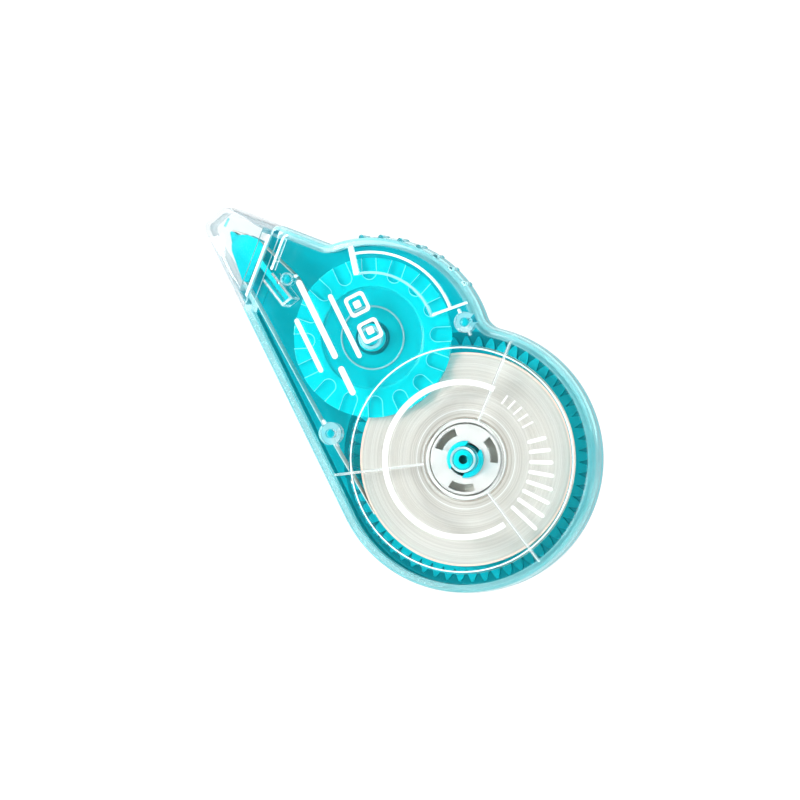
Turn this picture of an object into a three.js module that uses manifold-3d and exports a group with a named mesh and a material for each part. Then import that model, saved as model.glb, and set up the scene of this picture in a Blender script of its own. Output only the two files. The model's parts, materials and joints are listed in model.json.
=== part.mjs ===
// Correction tape roller: a flat dispenser with a toothed supply reel, a geared take-up reel,
// a wedge applicator under a slide-off tip cap, and a two-part snapped case.
// Millimetres. X runs from the applicator nose (-X) to the supply lobe (+X), Z through the thickness.
import * as THREE from 'three';
import { mergeVertices } from 'three/addons/utils/BufferGeometryUtils.js';
import Module from 'manifold-3d';

const wasm = await Module();
wasm.setup();

// ---- Driving sizes, measured from the supply spindle's axis ----
const DEGREE = Math.PI / 180;
const LOBE_RADIUS = 27;
const GRIP_CENTRE = new THREE.Vector2(-28.3, 3.1);
const GRIP_RADIUS = 23.5;
const NOSE_ANGLE = 21.3 * DEGREE;
const NOSE_UPPER_OFFSET = 30.4;
const NOSE_FRONT_OFFSET = 70.8;
const NOSE_FRONT_ANGLE = 173.5 * DEGREE;
const NOSE_CORNER_RADIUS = 2.4;
const WAIST_FILLET = 4;
const NOSE_FILLET = 3;

const WALL = 1.3;
const FLOOR_TOP = 1.4;
const PARTING = 5;
const COVER_UNDERSIDE = 13.1;
const COVER_TOP = 14.5;
const WINDOW_TOP = 15;
const WINDOW_RADIUS = 22.9;
const LIP = 0.6;
const LIP_HEIGHT = 0.8;

const MODULE = 0.8;
const SUPPLY_TEETH = 60;
const PINION_TEETH = 17;
const PRESSURE_ANGLE = 25 * DEGREE;
const BACKLASH = 0.1;
const GEAR_BOTTOM = 1.7;
const GEAR_TOP = 3.3;
const AXLE_DISTANCE = MODULE * (SUPPLY_TEETH + PINION_TEETH) / 2;
const TAKE_UP_BEARING = 169.8 * DEGREE;

const TAPE_BOTTOM = 3.5;
const TAPE_TOP = 8.5;
const TAPE_THICKNESS = 0.15;
const ROLL_RADIUS = 21.5;
const CORE_RADIUS = 8.2;
const CORE_WALL = 0.8;
const WINDING_RADIUS = 6.8;
const REEL_HUB_RADIUS = 6.2;
const FLANGE_RADIUS = 16.1;
const FLANGE_BOTTOM = 8.9;
const FLANGE_TOP = 10.5;
const RIB_BOTTOM = 11.3;
const RIB_THICKNESS = 0.5;
const RIB_TOP = COVER_UNDERSIDE + 0.4;

const SPINDLE_RADIUS = 2.65;
const SPINDLE_SHOULDER = 8.6;
const SPINDLE_TIP_RADIUS = 2;
const SPINDLE_TOP = 12.6;
const TAKE_UP_SPINDLE_RADIUS = 1.5;
const TAKE_UP_SPINDLE_TOP = 12.2;
const PIN_SHOULDER = 9.2;
const PIN_SPIGOT_RADIUS = 0.75;
const PIN_TOP = 12;
const FINGER_RADIUS = 3.25;
const FINGER_GAP = 2.9;
const HOOK_RADIUS = 3.75;
const HOOK_BOTTOM = 9.25;
const HOOK_TOP = 9.9;
const CLUTCH_RADIUS = 7.15;
const CLUTCH_BOTTOM = 8.4;
const CLUTCH_TOP = 9.15;
const FRICTION_RING_RADIUS = 5.6;
const FRICTION_RING_SECTION = 0.85;
const REEL_BOSS_RADIUS = 2.9;
const DISH_RADIUS = 10.4;
const NOTCHES = 16;
const NOTCH_INNER_RADIUS = 13.2;
const NOTCH_WIDTH = 2.8;
const RUNNING_GAP = 0.1;
const CONTACT_GAP = 0.1;

const CAP_EDGE = -52.3;
const TONGUE_END = -54.6;
const CAP_WALL = 1.1;
const TONGUE_INSET = 1.4;

const SPINDLE = new THREE.Vector2(0, 0);
const TAKE_UP = new THREE.Vector2(Math.cos(TAKE_UP_BEARING), Math.sin(TAKE_UP_BEARING))
  .multiplyScalar(AXLE_DISTANCE);
const RETURN_PIN = { centre: new THREE.Vector2(-50.8, 2.7), radius: 1, boss: 1.35, gusset: 62 * DEGREE };
const FEED_PIN = { centre: new THREE.Vector2(-23.4, -14.3), radius: 1, boss: 2.3, gusset: -18 * DEGREE };
const WAIST_PIN = { centre: new THREE.Vector2(-18.3, 20.5), radius: 1, boss: 2.1, gusset: -23 * DEGREE };
const PINS = [RETURN_PIN, FEED_PIN, WAIST_PIN];

// The wedge of the applicator, its tip first, counter-clockwise.
const HEAD_PROFILE = [
  [-66.4, 1.5], [-64.3, -0.1], [-57.6, -3.7], [-56.9, -3.2], [-58.2, 0.3], [-59.6, 3.7],
  [-60.6, 3.9], [-64.2, 2.9], [-64.7, 2.2], [-66.3, 1.9],
];
const CHEEK_PROFILE = [
  [-64.6, 0.1], [-63.6, -0.95], [-57.9, -4], [-56.7, -3.6], [-59.4, 4.1], [-60.7, 4.4],
  [-63.6, 3.5],
];
const TAIL_START = new THREE.Vector2(-58.56, 1.26);
const POCKET_START = 4.6;
const TAIL_END = new THREE.Vector2(-48.3, -0.5);
const TAIL_WIDTH = 1.2;
const POCKET_GAP = 0.25;
const POCKET_WALL = 0.5;
const POCKET_BOTTOM = 4;

// ---- Solids ----
function solid(geometry) {
  const bare = geometry.clone();
  bare.deleteAttribute('normal');
  bare.deleteAttribute('uv');
  const merged = mergeVertices(bare, 1e-5);
  const vertProperties = new Float32Array(merged.attributes.position.array);
  const triVerts = new Uint32Array(merged.index.array);
  return new wasm.Manifold(new wasm.Mesh({ numProp: 3, vertProperties, triVerts }));
}

function prism(shape, bottom, top) {
  const geometry = new THREE.ExtrudeGeometry(shape, {
    depth: top - bottom, bevelEnabled: false, curveSegments: 10,
  });
  return solid(geometry.translate(0, 0, bottom));
}

function polygon(points) {
  return new THREE.Shape(points.map((p) => (p.isVector2 ? p : new THREE.Vector2(...p))));
}

function disc(centre, radius, bottom, top, sides = 36) {
  const geometry = new THREE.CylinderGeometry(radius, radius, top - bottom, sides);
  geometry.rotateX(Math.PI / 2);
  return solid(geometry.translate(centre.x, centre.y, (bottom + top) / 2));
}

function tube(centre, inner, outer, bottom, top, sides = 36) {
  const bore = disc(centre, inner, bottom - 1, top + 1, sides);
  return disc(centre, outer, bottom, top, sides).subtract(bore);
}

function bar(from, to, width, bottom, top) {
  const along = to.clone().sub(from);
  const geometry = new THREE.BoxGeometry(along.length(), width, top - bottom);
  geometry.rotateZ(along.angle());
  const middle = from.clone().add(to).multiplyScalar(0.5);
  return solid(geometry.translate(middle.x, middle.y, (bottom + top) / 2));
}

function polar(centre, radius, angle) {
  return new THREE.Vector2(centre.x + radius * Math.cos(angle), centre.y + radius * Math.sin(angle));
}

// A slice of a ring between two angles, as a flat shape.
function ringSector(centre, inner, outer, from, to) {
  const shape = new THREE.Shape();
  shape.absarc(centre.x, centre.y, outer, from, to, false);
  shape.absarc(centre.x, centre.y, inner, to, from, true);
  return shape;
}

function join(solids) {
  return solids.reduce((sum, next) => sum.add(next));
}

// ---- The case outline, as straight sides and tangent arcs ----
function lineWithNormal(angle, offset) {
  return { normal: new THREE.Vector2(Math.cos(angle), Math.sin(angle)), angle, offset };
}

const LOWER_SIDE = lineWithNormal(-Math.PI / 2 - NOSE_ANGLE, LOBE_RADIUS);
const UPPER_SIDE = lineWithNormal(Math.PI / 2 + NOSE_ANGLE, NOSE_UPPER_OFFSET);
const NOSE_FRONT = lineWithNormal(NOSE_FRONT_ANGLE, NOSE_FRONT_OFFSET);

function lineMeeting(a, b, inset) {
  const across = a.normal.cross(b.normal);
  const reachA = a.offset - inset;
  const reachB = b.offset - inset;
  return new THREE.Vector2(
    (reachA * b.normal.y - reachB * a.normal.y) / across,
    (reachB * a.normal.x - reachA * b.normal.x) / across,
  );
}

function circleMeeting(a, radiusA, b, radiusB) {
  const between = b.clone().sub(a);
  const distance = between.length();
  const along = (distance ** 2 + radiusA ** 2 - radiusB ** 2) / (2 * distance);
  const beside = Math.sqrt(radiusA ** 2 - along ** 2);
  const direction = between.divideScalar(distance);
  return new THREE.Vector2(
    a.x + direction.x * along + direction.y * beside,
    a.y + direction.y * along - direction.x * beside,
  );
}

function noseFilletCentre() {
  const reach = UPPER_SIDE.offset + NOSE_FILLET - UPPER_SIDE.normal.dot(GRIP_CENTRE);
  const beside = Math.sqrt((GRIP_RADIUS + NOSE_FILLET) ** 2 - reach ** 2);
  return new THREE.Vector2(
    GRIP_CENTRE.x + UPPER_SIDE.normal.x * reach - UPPER_SIDE.normal.y * beside,
    GRIP_CENTRE.y + UPPER_SIDE.normal.y * reach + UPPER_SIDE.normal.x * beside,
  );
}

const WAIST_CENTRE = circleMeeting(
  SPINDLE, LOBE_RADIUS + WAIST_FILLET, GRIP_CENTRE, GRIP_RADIUS + WAIST_FILLET,
);
const NOSE_FILLET_CENTRE = noseFilletCentre();
const UPPER_CORNER = lineMeeting(UPPER_SIDE, NOSE_FRONT, NOSE_CORNER_RADIUS);
const LOWER_CORNER = lineMeeting(NOSE_FRONT, LOWER_SIDE, NOSE_CORNER_RADIUS);

function angleTo(from, to) {
  return Math.atan2(to.y - from.y, to.x - from.x);
}

function arc(centre, radius, from, to, clockwise, steps) {
  let sweep = to - from;
  while (!clockwise && sweep < 0) sweep += 2 * Math.PI;
  while (clockwise && sweep > 0) sweep -= 2 * Math.PI;
  return Array.from({ length: steps + 1 }, (_, i) => polar(centre, radius, from + sweep * i / steps));
}

function outline(inset) {
  const corner = Math.max(NOSE_CORNER_RADIUS - inset, 0.1);
  const toWaist = angleTo(SPINDLE, WAIST_CENTRE);
  const gripToWaist = angleTo(GRIP_CENTRE, WAIST_CENTRE);
  const gripToNose = angleTo(GRIP_CENTRE, NOSE_FILLET_CENTRE);
  const waist = arc(WAIST_CENTRE, WAIST_FILLET + inset, toWaist + Math.PI, gripToWaist + Math.PI, true, 6);
  const grip = arc(GRIP_CENTRE, GRIP_RADIUS - inset, gripToWaist, gripToNose, false, 22);
  return [
    ...arc(SPINDLE, LOBE_RADIUS - inset, LOWER_SIDE.angle, toWaist, false, 48),
    ...waist.slice(1, -1),
    ...grip,
    ...arc(NOSE_FILLET_CENTRE, NOSE_FILLET + inset, gripToNose + Math.PI,
      UPPER_SIDE.angle + Math.PI, true, 5).slice(1),
    ...arc(UPPER_CORNER, corner, UPPER_SIDE.angle, NOSE_FRONT.angle, false, 5),
    ...arc(LOWER_CORNER, corner, NOSE_FRONT.angle, LOWER_SIDE.angle, false, 5),
  ];
}

// Stacks outlines given as [height, inset] pairs into one closed solid.
function loft(levels) {
  const rings = levels.map(([height, inset]) => outline(inset).map((p) => [p.x, p.y, height]));
  const count = rings[0].length;
  const triangles = [];
  for (let level = 0; level + 1 < rings.length; level += 1) {
    for (let i = 0; i < count; i += 1) {
      const a = level * count + i;
      const b = level * count + (i + 1) % count;
      triangles.push(a, b, b + count, a, b + count, a + count);
    }
  }
  const flat = outline(levels[0][1]);
  const lastRing = (rings.length - 1) * count;
  for (const [a, b, c] of THREE.ShapeUtils.triangulateShape(flat, [])) {
    triangles.push(a, c, b, lastRing + a, lastRing + b, lastRing + c);
  }
  const geometry = new THREE.BufferGeometry();
  geometry.setAttribute('position', new THREE.Float32BufferAttribute(rings.flat(2), 3));
  geometry.setIndex(triangles);
  return solid(geometry);
}

// A slab across the nose, between two distances measured along its upper side.
function noseSlab(from, to) {
  const geometry = new THREE.BoxGeometry(to - from, 400, 100);
  geometry.translate((from + to) / 2, 0, 0);
  return solid(geometry.rotateZ(NOSE_ANGLE));
}

const FAR = 200;
const BEHIND_CAP = noseSlab(CAP_EDGE, FAR);
const CAVITY_START = CAP_EDGE + WALL;
const CAVITY_ZONE = noseSlab(CAVITY_START, FAR);
const TONGUE_ZONE = noseSlab(TONGUE_END, CAP_EDGE + 0.1);
const MOUTH_ZONE = noseSlab(TONGUE_END - 1, CAVITY_START + 0.1);
const TONGUE_FLOOR = FLOOR_TOP + 0.05;

// ---- Thumb-grip ridges on the edge beside the take-up reel ----
function gripRidges(bottom, top) {
  const first = 78.8 * DEGREE;
  const pitch = 9.7 * DEGREE;
  const ridges = [];
  for (let i = 0; i < 7; i += 1) {
    const centre = polar(GRIP_CENTRE, GRIP_RADIUS - 0.2, first + i * pitch);
    ridges.push(disc(centre, 0.55, bottom, top, 10));
  }
  return join(ridges);
}

// ---- Case ----
function backShell() {
  const outer = loft([[0, 1.1], [0.35, 0.4], [1.1, 0], [PARTING, 0]]);
  const lip = loft([[PARTING - 1, LIP + 0.1], [PARTING + LIP_HEIGHT, LIP + 0.1]]);
  const body = outer.add(lip).add(gripRidges(2, PARTING)).intersect(BEHIND_CAP);
  const tongue = loft([[TONGUE_FLOOR, TONGUE_INSET], [PARTING, TONGUE_INSET]]).intersect(TONGUE_ZONE);
  const cavity = loft([[FLOOR_TOP, WALL], [PARTING + 2, WALL]]).intersect(CAVITY_ZONE);
  const mouthInset = TONGUE_INSET + CAP_WALL;
  const mouth = loft([[TONGUE_FLOOR + CAP_WALL, mouthInset], [PARTING + 2, mouthInset]])
    .intersect(MOUTH_ZONE);
  const pins = PINS.map(({ centre, radius }) => disc(centre, radius, 1, PIN_SHOULDER, 20)
    .add(disc(centre, PIN_SPIGOT_RADIUS, PIN_SHOULDER - 0.2, PIN_TOP, 16)));
  const spindle = disc(SPINDLE, SPINDLE_RADIUS, 1, SPINDLE_SHOULDER, 32)
    .add(disc(SPINDLE, SPINDLE_TIP_RADIUS, SPINDLE_SHOULDER - 0.6, SPINDLE_TOP, 32))
    .add(tube(SPINDLE, SPINDLE_RADIUS - 0.5, 4.4, 1, GEAR_BOTTOM - 0.05, 32));
  const spindleHole = disc(SPINDLE, 0.85, 4, 14, 20);
  const takeUpSpindle = disc(TAKE_UP, TAKE_UP_SPINDLE_RADIUS, 1, TAKE_UP_SPINDLE_TOP, 24)
    .add(tube(TAKE_UP, 1, 2.6, 1, GEAR_BOTTOM - 0.05, 24));
  const wellWalls = [[108, 149], [192, 231]].map(([from, to]) => prism(
    ringSector(SPINDLE, 25.6, 26.3, from * DEGREE, to * DEGREE), 1, 2.9,
  ));
  return body.add(tongue).subtract(cavity).subtract(mouth)
    .add(join([...pins, ...wellWalls, spindle, takeUpSpindle]))
    .subtract(spindleHole);
}

function headPocket() {
  const direction = TAIL_END.clone().sub(TAIL_START).normalize();
  const side = new THREE.Vector2(-direction.y, direction.x);
  const reach = TAIL_WIDTH / 2 + POCKET_GAP + POCKET_WALL / 2;
  const start = TAIL_START.clone().addScaledVector(direction, POCKET_START);
  const end = TAIL_END.clone().addScaledVector(direction, POCKET_GAP + POCKET_WALL);
  const walls = [-1, 1].map((sign) => bar(
    start.clone().addScaledVector(side, sign * reach),
    end.clone().addScaledVector(side, sign * reach),
    POCKET_WALL, POCKET_BOTTOM, RIB_TOP,
  ));
  const stop = end.clone().addScaledVector(direction, -POCKET_WALL / 2);
  const back = bar(
    stop.clone().addScaledVector(side, -reach - POCKET_WALL / 2),
    stop.clone().addScaledVector(side, reach + POCKET_WALL / 2),
    POCKET_WALL, POCKET_BOTTOM, RIB_TOP,
  );
  return join([...walls, back]);
}

function coverRibs() {
  const radial = [110.3, -10.7, -130.7].map((angle) => bar(
    polar(SPINDLE, 8, angle * DEGREE),
    polar(SPINDLE, LOBE_RADIUS - 0.7, angle * DEGREE),
    RIB_THICKNESS, RIB_BOTTOM, RIB_TOP,
  ));
  const hubRing = tube(SPINDLE, 7.7, 7.7 + RIB_THICKNESS, RIB_BOTTOM, RIB_TOP);
  const bossOnSpindle = tube(SPINDLE, SPINDLE_TIP_RADIUS + 0.15, 2.6, 8.9, RIB_TOP, 32);
  const bossOnTakeUp = tube(TAKE_UP, TAKE_UP_SPINDLE_RADIUS + 0.2, 2.4, RIB_BOTTOM, RIB_TOP, 24);
  const pinBosses = PINS.map(({ centre, boss }) => tube(
    centre, PIN_SPIGOT_RADIUS + 0.2, boss, PIN_SHOULDER + 0.2, RIB_TOP, 24,
  ));
  const gussets = PINS.flatMap(({ centre, boss, gusset }) => [0, Math.PI].map((turn) => bar(
    polar(centre, boss - 0.2, gusset + turn), polar(centre, boss + 0.8, gusset + turn),
    RIB_THICKNESS, RIB_BOTTOM, RIB_TOP,
  )));
  const panelFrom = 62 * DEGREE;
  const panelTo = 145 * DEGREE;
  const panelEnd = (angle, reach, width) => bar(
    polar(TAKE_UP, 12.9, angle), polar(TAKE_UP, reach, angle), width, RIB_BOTTOM, RIB_TOP,
  );
  const panel = [
    ...[12.8, 16.9].map((r) => prism(
      ringSector(TAKE_UP, r, r + RIB_THICKNESS, panelFrom, panelTo), RIB_BOTTOM, RIB_TOP,
    )),
    panelEnd(panelFrom, 21, RIB_THICKNESS),
    panelEnd(panelTo, 20, 2 * RIB_THICKNESS),
  ];
  const ribDistance = CAP_EDGE + 2.3;
  const along = new THREE.Vector2(Math.cos(NOSE_ANGLE), Math.sin(NOSE_ANGLE));
  const across = new THREE.Vector2(-along.y, along.x);
  const noseRib = bar(
    along.clone().multiplyScalar(ribDistance).addScaledVector(across, 21.6),
    along.clone().multiplyScalar(ribDistance).addScaledVector(across, 29.6),
    RIB_THICKNESS, 9.3, RIB_TOP,
  );
  const bosses = [...pinBosses, bossOnSpindle, bossOnTakeUp];
  return join([...radial, ...bosses, ...gussets, ...panel, hubRing, noseRib]);
}

function frontShell() {
  const outer = loft([
    [PARTING, 0], [11.8, 0.3], [13.2, 0.65], [14.1, 1.25], [COVER_TOP, 2.2],
  ]);
  const window = solid(new THREE.CylinderGeometry(
    WINDOW_RADIUS - 0.6, WINDOW_RADIUS, WINDOW_TOP - COVER_TOP + 0.2, 72,
  ).rotateX(Math.PI / 2).translate(0, 0, (WINDOW_TOP + COVER_TOP - 0.2) / 2));
  const body = outer.add(gripRidges(PARTING, 12.2)).add(window).intersect(BEHIND_CAP);
  const tongue = loft([[PARTING, TONGUE_INSET], [COVER_UNDERSIDE, TONGUE_INSET]]).intersect(TONGUE_ZONE);
  const rebate = loft([[PARTING - 1, LIP], [PARTING + LIP_HEIGHT + 0.1, LIP]])
    .intersect(noseSlab(CAP_EDGE - 0.1, FAR));
  const cavity = loft([[PARTING - 1, WALL], [COVER_UNDERSIDE, WALL + 0.5]]).intersect(CAVITY_ZONE);
  const mouthInset = TONGUE_INSET + CAP_WALL;
  const mouth = loft([[PARTING - 1, mouthInset], [COVER_UNDERSIDE - CAP_WALL, mouthInset]])
    .intersect(MOUTH_ZONE);
  const shell = body.add(tongue).subtract(rebate).subtract(cavity).subtract(mouth);
  const inside = loft([[2, 0.8], [COVER_TOP - 0.5, 1.6]]).intersect(CAVITY_ZONE.add(MOUTH_ZONE));
  return shell.add(join([coverRibs(), headPocket()]).intersect(inside));
}

function tipCap() {
  const reach = CAP_EDGE - 0.15;
  const zone = noseSlab(-FAR, reach);
  const outer = loft([[0, 1.1], [0.35, 0.4], [1.1, 0], [11.8, 0.3], [13.2, 0.65], [14.1, 1.25],
    [COVER_TOP, 2.2]]);
  const inner = loft([[1.25, CAP_WALL], [COVER_TOP - 1.2, CAP_WALL]]);
  const taper = (raise, drop) => prism(polygon([
    [-FAR, raise + 1.2], [-71, raise + 1.2], [-62, raise], [0, raise],
    [0, COVER_TOP - drop], [-62, COVER_TOP - drop], [-71, COVER_TOP - 2.2 - drop],
    [-FAR, COVER_TOP - 2.2 - drop],
  ]), -FAR, FAR).rotate([90, 0, 0]);
  const skin = outer.intersect(taper(0, 0));
  const hollow = inner.intersect(taper(1.2, 1.2));
  const recess = bar(new THREE.Vector2(-67.35, 2), new THREE.Vector2(-67.85, 3.8), 0.45, 12.5, 15);
  return skin.subtract(hollow).intersect(zone).subtract(recess);
}

// ---- Gears, with involute flanks and a stated backlash ----
function involute(angle) {
  return Math.tan(angle) - angle;
}

function gearShape(teeth, root, tip, phase) {
  const pitch = MODULE * teeth / 2;
  const base = pitch * Math.cos(PRESSURE_ANGLE);
  const halfAtPitch = Math.PI / (2 * teeth) - BACKLASH / (4 * pitch);
  const halfGap = Math.PI / teeth;
  const half = (radius) => {
    const flank = halfAtPitch + involute(PRESSURE_ANGLE)
      - involute(Math.acos(Math.min(base / radius, 1)));
    return Math.min(flank, halfGap * 0.9);
  };
  const radii = [root, root + (tip - root) * 0.35, pitch, tip];
  const points = [];
  for (let tooth = 0; tooth < teeth; tooth += 1) {
    const centre = phase + 2 * Math.PI * tooth / teeth;
    points.push(...radii.map((r) => polar(SPINDLE, r, centre - half(r))));
    points.push(...radii.toReversed().map((r) => polar(SPINDLE, r, centre + half(r))));
  }
  return polygon(points);
}

function supplyGear() {
  const disk = prism(gearShape(SUPPLY_TEETH, 22.2, 24.8, TAKE_UP_BEARING), GEAR_BOTTOM, GEAR_TOP);
  const hub = disc(SPINDLE, FINGER_RADIUS, GEAR_BOTTOM, HOOK_TOP);
  const hooks = disc(SPINDLE, HOOK_RADIUS, HOOK_BOTTOM, HOOK_TOP);
  const bore = disc(SPINDLE, SPINDLE_RADIUS + RUNNING_GAP, 0, 20);
  const across = 99 * DEGREE;
  const slit = bar(polar(SPINDLE, -6, across), polar(SPINDLE, 6, across), FINGER_GAP, 5, 12);
  return disk.add(hub).add(hooks).subtract(bore).subtract(slit);
}

function frictionRing() {
  const profile = Array.from({ length: 9 }, (_, i) => polar(
    { x: FRICTION_RING_RADIUS, y: 0 }, FRICTION_RING_SECTION, i * Math.PI / 4,
  ));
  const geometry = new THREE.LatheGeometry(profile, 24);
  geometry.rotateX(Math.PI / 2);
  return solid(geometry.translate(0, 0, GEAR_TOP + FRICTION_RING_SECTION + 0.05));
}

function tapeCore() {
  const web = tube(SPINDLE, FINGER_RADIUS + 0.2, CORE_RADIUS - 0.2, 5.15, 6.15);
  return tube(SPINDLE, CORE_RADIUS - CORE_WALL, CORE_RADIUS, TAPE_BOTTOM, TAPE_TOP, 48).add(web);
}

function tapeRoll() {
  return tube(SPINDLE, CORE_RADIUS + 0.05, ROLL_RADIUS, TAPE_BOTTOM, TAPE_TOP, 80);
}

function clutchDisc() {
  const plate = tube(SPINDLE, FINGER_RADIUS + 0.15, CLUTCH_RADIUS, CLUTCH_BOTTOM, CLUTCH_TOP);
  const skirt = tube(SPINDLE, CLUTCH_RADIUS - 0.6, CLUTCH_RADIUS, 6.25, CLUTCH_BOTTOM + 0.2);
  const slots = [176.8, 60.8, -55.2].map((angle) => prism(
    ringSector(SPINDLE, 5, 6.6, (angle - 25) * DEGREE, (angle + 25) * DEGREE),
    CLUTCH_BOTTOM - 1, CLUTCH_TOP + 1,
  ));
  return plate.add(skirt).subtract(join(slots));
}

// ---- Take-up reel, built round its own axis ----
function takeUpPinion() {
  const facing = TAKE_UP_BEARING + Math.PI;
  const phase = facing + Math.PI / PINION_TEETH;
  const teeth = prism(gearShape(PINION_TEETH, 5.6, 7.5, phase), GEAR_BOTTOM, GEAR_TOP);
  const spigot = tube(SPINDLE, 4.2, 5.2, GEAR_TOP - 0.2, 5.6, 32);
  const bore = disc(SPINDLE, TAKE_UP_SPINDLE_RADIUS + RUNNING_GAP, 0, 20, 28);
  return teeth.add(spigot).subtract(bore);
}

function takeUpReel() {
  const hub = tube(SPINDLE, 5.35, REEL_HUB_RADIUS, GEAR_TOP + 0.15, FLANGE_BOTTOM + 0.3);
  const boss = disc(SPINDLE, REEL_BOSS_RADIUS, GEAR_TOP + 0.15, FLANGE_TOP + 0.4, 32);
  const flange = disc(SPINDLE, FLANGE_RADIUS, FLANGE_BOTTOM, FLANGE_TOP, 64);
  const dish = tube(SPINDLE, REEL_BOSS_RADIUS, DISH_RADIUS, FLANGE_BOTTOM + 0.8, FLANGE_TOP + 1);
  const bore = disc(SPINDLE, TAKE_UP_SPINDLE_RADIUS + RUNNING_GAP, 0, 20, 28);
  const notchFloor = FLANGE_BOTTOM + 0.7;
  const notches = [];
  for (let i = 0; i < NOTCHES; i += 1) {
    const angle = 2 * Math.PI * i / NOTCHES;
    const inner = polar(SPINDLE, NOTCH_INNER_RADIUS, angle);
    const outer = polar(SPINDLE, FLANGE_RADIUS + 1, angle);
    notches.push(bar(inner, outer, NOTCH_WIDTH, notchFloor, FLANGE_TOP + 1));
    notches.push(disc(inner, NOTCH_WIDTH / 2, notchFloor, FLANGE_TOP + 1, 10));
  }
  return flange.subtract(join(notches)).add(hub).subtract(dish).add(boss).subtract(bore);
}

function takeUpWinding() {
  return tube(SPINDLE, REEL_HUB_RADIUS + 0.05, WINDING_RADIUS, TAPE_BOTTOM + 0.1, TAPE_TOP, 36);
}

// ---- Applicator head ----
function applicatorHead() {
  const wedge = prism(polygon(HEAD_PROFILE), TAPE_BOTTOM - 0.2, TAPE_TOP + 0.2);
  const tail = bar(TAIL_START, TAIL_END, TAIL_WIDTH, TAPE_BOTTOM + 0.3, TAPE_TOP + 0.2);
  const cheek = polygon(CHEEK_PROFILE);
  return wedge.add(tail)
    .add(prism(cheek, TAPE_BOTTOM - 0.8, TAPE_BOTTOM - 0.1))
    .add(prism(cheek, TAPE_TOP + 0.1, TAPE_TOP + 0.8));
}

// ---- The tape's two free runs ----
// A guide is a round the tape bears on: side is +1 where it lies right of the tape's travel.
function straightBetween(from, to) {
  const between = to.centre.clone().sub(from.centre);
  const offset = from.side * from.radius - to.side * to.radius;
  const heading = between.angle() - Math.asin(offset / between.length());
  const left = new THREE.Vector2(-Math.sin(heading), Math.cos(heading));
  return [from, to].map((guide) => guide.centre.clone().addScaledVector(left, guide.side * guide.radius));
}

function tapePath(guides) {
  return guides.slice(1).flatMap((next, i) => straightBetween(guides[i], next));
}

function tapeStrip(points) {
  const half = TAPE_THICKNESS / 2;
  const sides = [1, -1].map((sign) => points.map((p, i) => {
    const before = points[Math.max(i - 1, 0)];
    const after = points[Math.min(i + 1, points.length - 1)];
    const along = after.clone().sub(before).normalize();
    return new THREE.Vector2(p.x - along.y * half * sign, p.y + along.x * half * sign);
  }));
  return prism(polygon([...sides[0], ...sides[1].reverse()]), TAPE_BOTTOM + 0.1, TAPE_TOP - 0.1);
}

function guide(centre, radius, side = 1) {
  return { centre, radius: radius + CONTACT_GAP + TAPE_THICKNESS / 2, side };
}

const HEAD_POINTS = HEAD_PROFILE.map(([x, y]) => new THREE.Vector2(x, y));

function freshRun() {
  const guides = [
    guide(SPINDLE, ROLL_RADIUS), guide(FEED_PIN.centre, FEED_PIN.radius),
    guide(HEAD_POINTS[2], 0), guide(HEAD_POINTS[1], 0), guide(HEAD_POINTS[0], 0),
  ];
  return tapeStrip(tapePath(guides));
}

function usedRun() {
  const guides = [
    guide(HEAD_POINTS[9], 0), guide(HEAD_POINTS[7], 0), guide(HEAD_POINTS[6], 0),
    guide(RETURN_PIN.centre, RETURN_PIN.radius), guide(TAKE_UP, WINDING_RADIUS, -1),
  ];
  return tapeStrip(tapePath(guides));
}

// ---- Scene graph ----
function meshOf(name, piece, colour, roughness, opacity = 1) {
  const { vertProperties, triVerts, numProp } = piece.getMesh();
  const positions = new Float32Array(vertProperties.length / numProp * 3);
  for (let i = 0; i < positions.length / 3; i += 1) {
    positions.set(vertProperties.subarray(i * numProp, i * numProp + 3), i * 3);
  }
  const geometry = new THREE.BufferGeometry();
  geometry.setAttribute('position', new THREE.BufferAttribute(positions, 3));
  geometry.setIndex(new THREE.BufferAttribute(new Uint32Array(triVerts), 1));
  geometry.computeVertexNormals();
  const material = new THREE.MeshStandardMaterial({
    color: colour, roughness, metalness: 0, opacity, transparent: opacity < 1,
  });
  const mesh = new THREE.Mesh(geometry, material);
  mesh.name = name;
  return mesh;
}

const CLEAR = 0xe4f4f6;
const TEAL = 0x10a8bc;
const CYAN = 0x18d8e6;
const PAPER = 0xe6e3de;

const dispenser = new THREE.Group();
dispenser.add(
  meshOf('back_shell', backShell(), TEAL, 0.25, 0.85),
  meshOf('front_shell', frontShell(), CLEAR, 0.1, 0.25),
  meshOf('tip_cap', tipCap(), CLEAR, 0.1, 0.25),
  meshOf('applicator_head', applicatorHead(), CYAN, 0.35),
  meshOf('supply_gear', supplyGear(), TEAL, 0.35),
  meshOf('friction_ring', frictionRing(), 0x3a3a3a, 0.8),
  meshOf('clutch_disc', clutchDisc(), 0xf0f0ee, 0.3),
  meshOf('tape_core', tapeCore(), 0xf0f0ee, 0.4),
  meshOf('tape_roll', tapeRoll(), PAPER, 0.45),
  meshOf('tape_run_fresh', freshRun(), 0xfafafa, 0.5),
  meshOf('tape_run_used', usedRun(), 0xe8d8c8, 0.4),
);

const takeUp = new THREE.Group();
takeUp.position.set(TAKE_UP.x, TAKE_UP.y, 0);
takeUp.add(
  meshOf('take_up_pinion', takeUpPinion(), TEAL, 0.35),
  meshOf('take_up_reel', takeUpReel(), CYAN, 0.3, 0.9),
  meshOf('take_up_winding', takeUpWinding(), 0xd8ccc0, 0.5),
);
dispenser.add(takeUp);

// The row's origin is the middle of the underside.
const noseTip = new THREE.Box2().setFromPoints(outline(0)).min.x;
dispenser.position.set(-(noseTip + LOBE_RADIUS) / 2, 0, 0);

export default dispenser;
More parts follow.
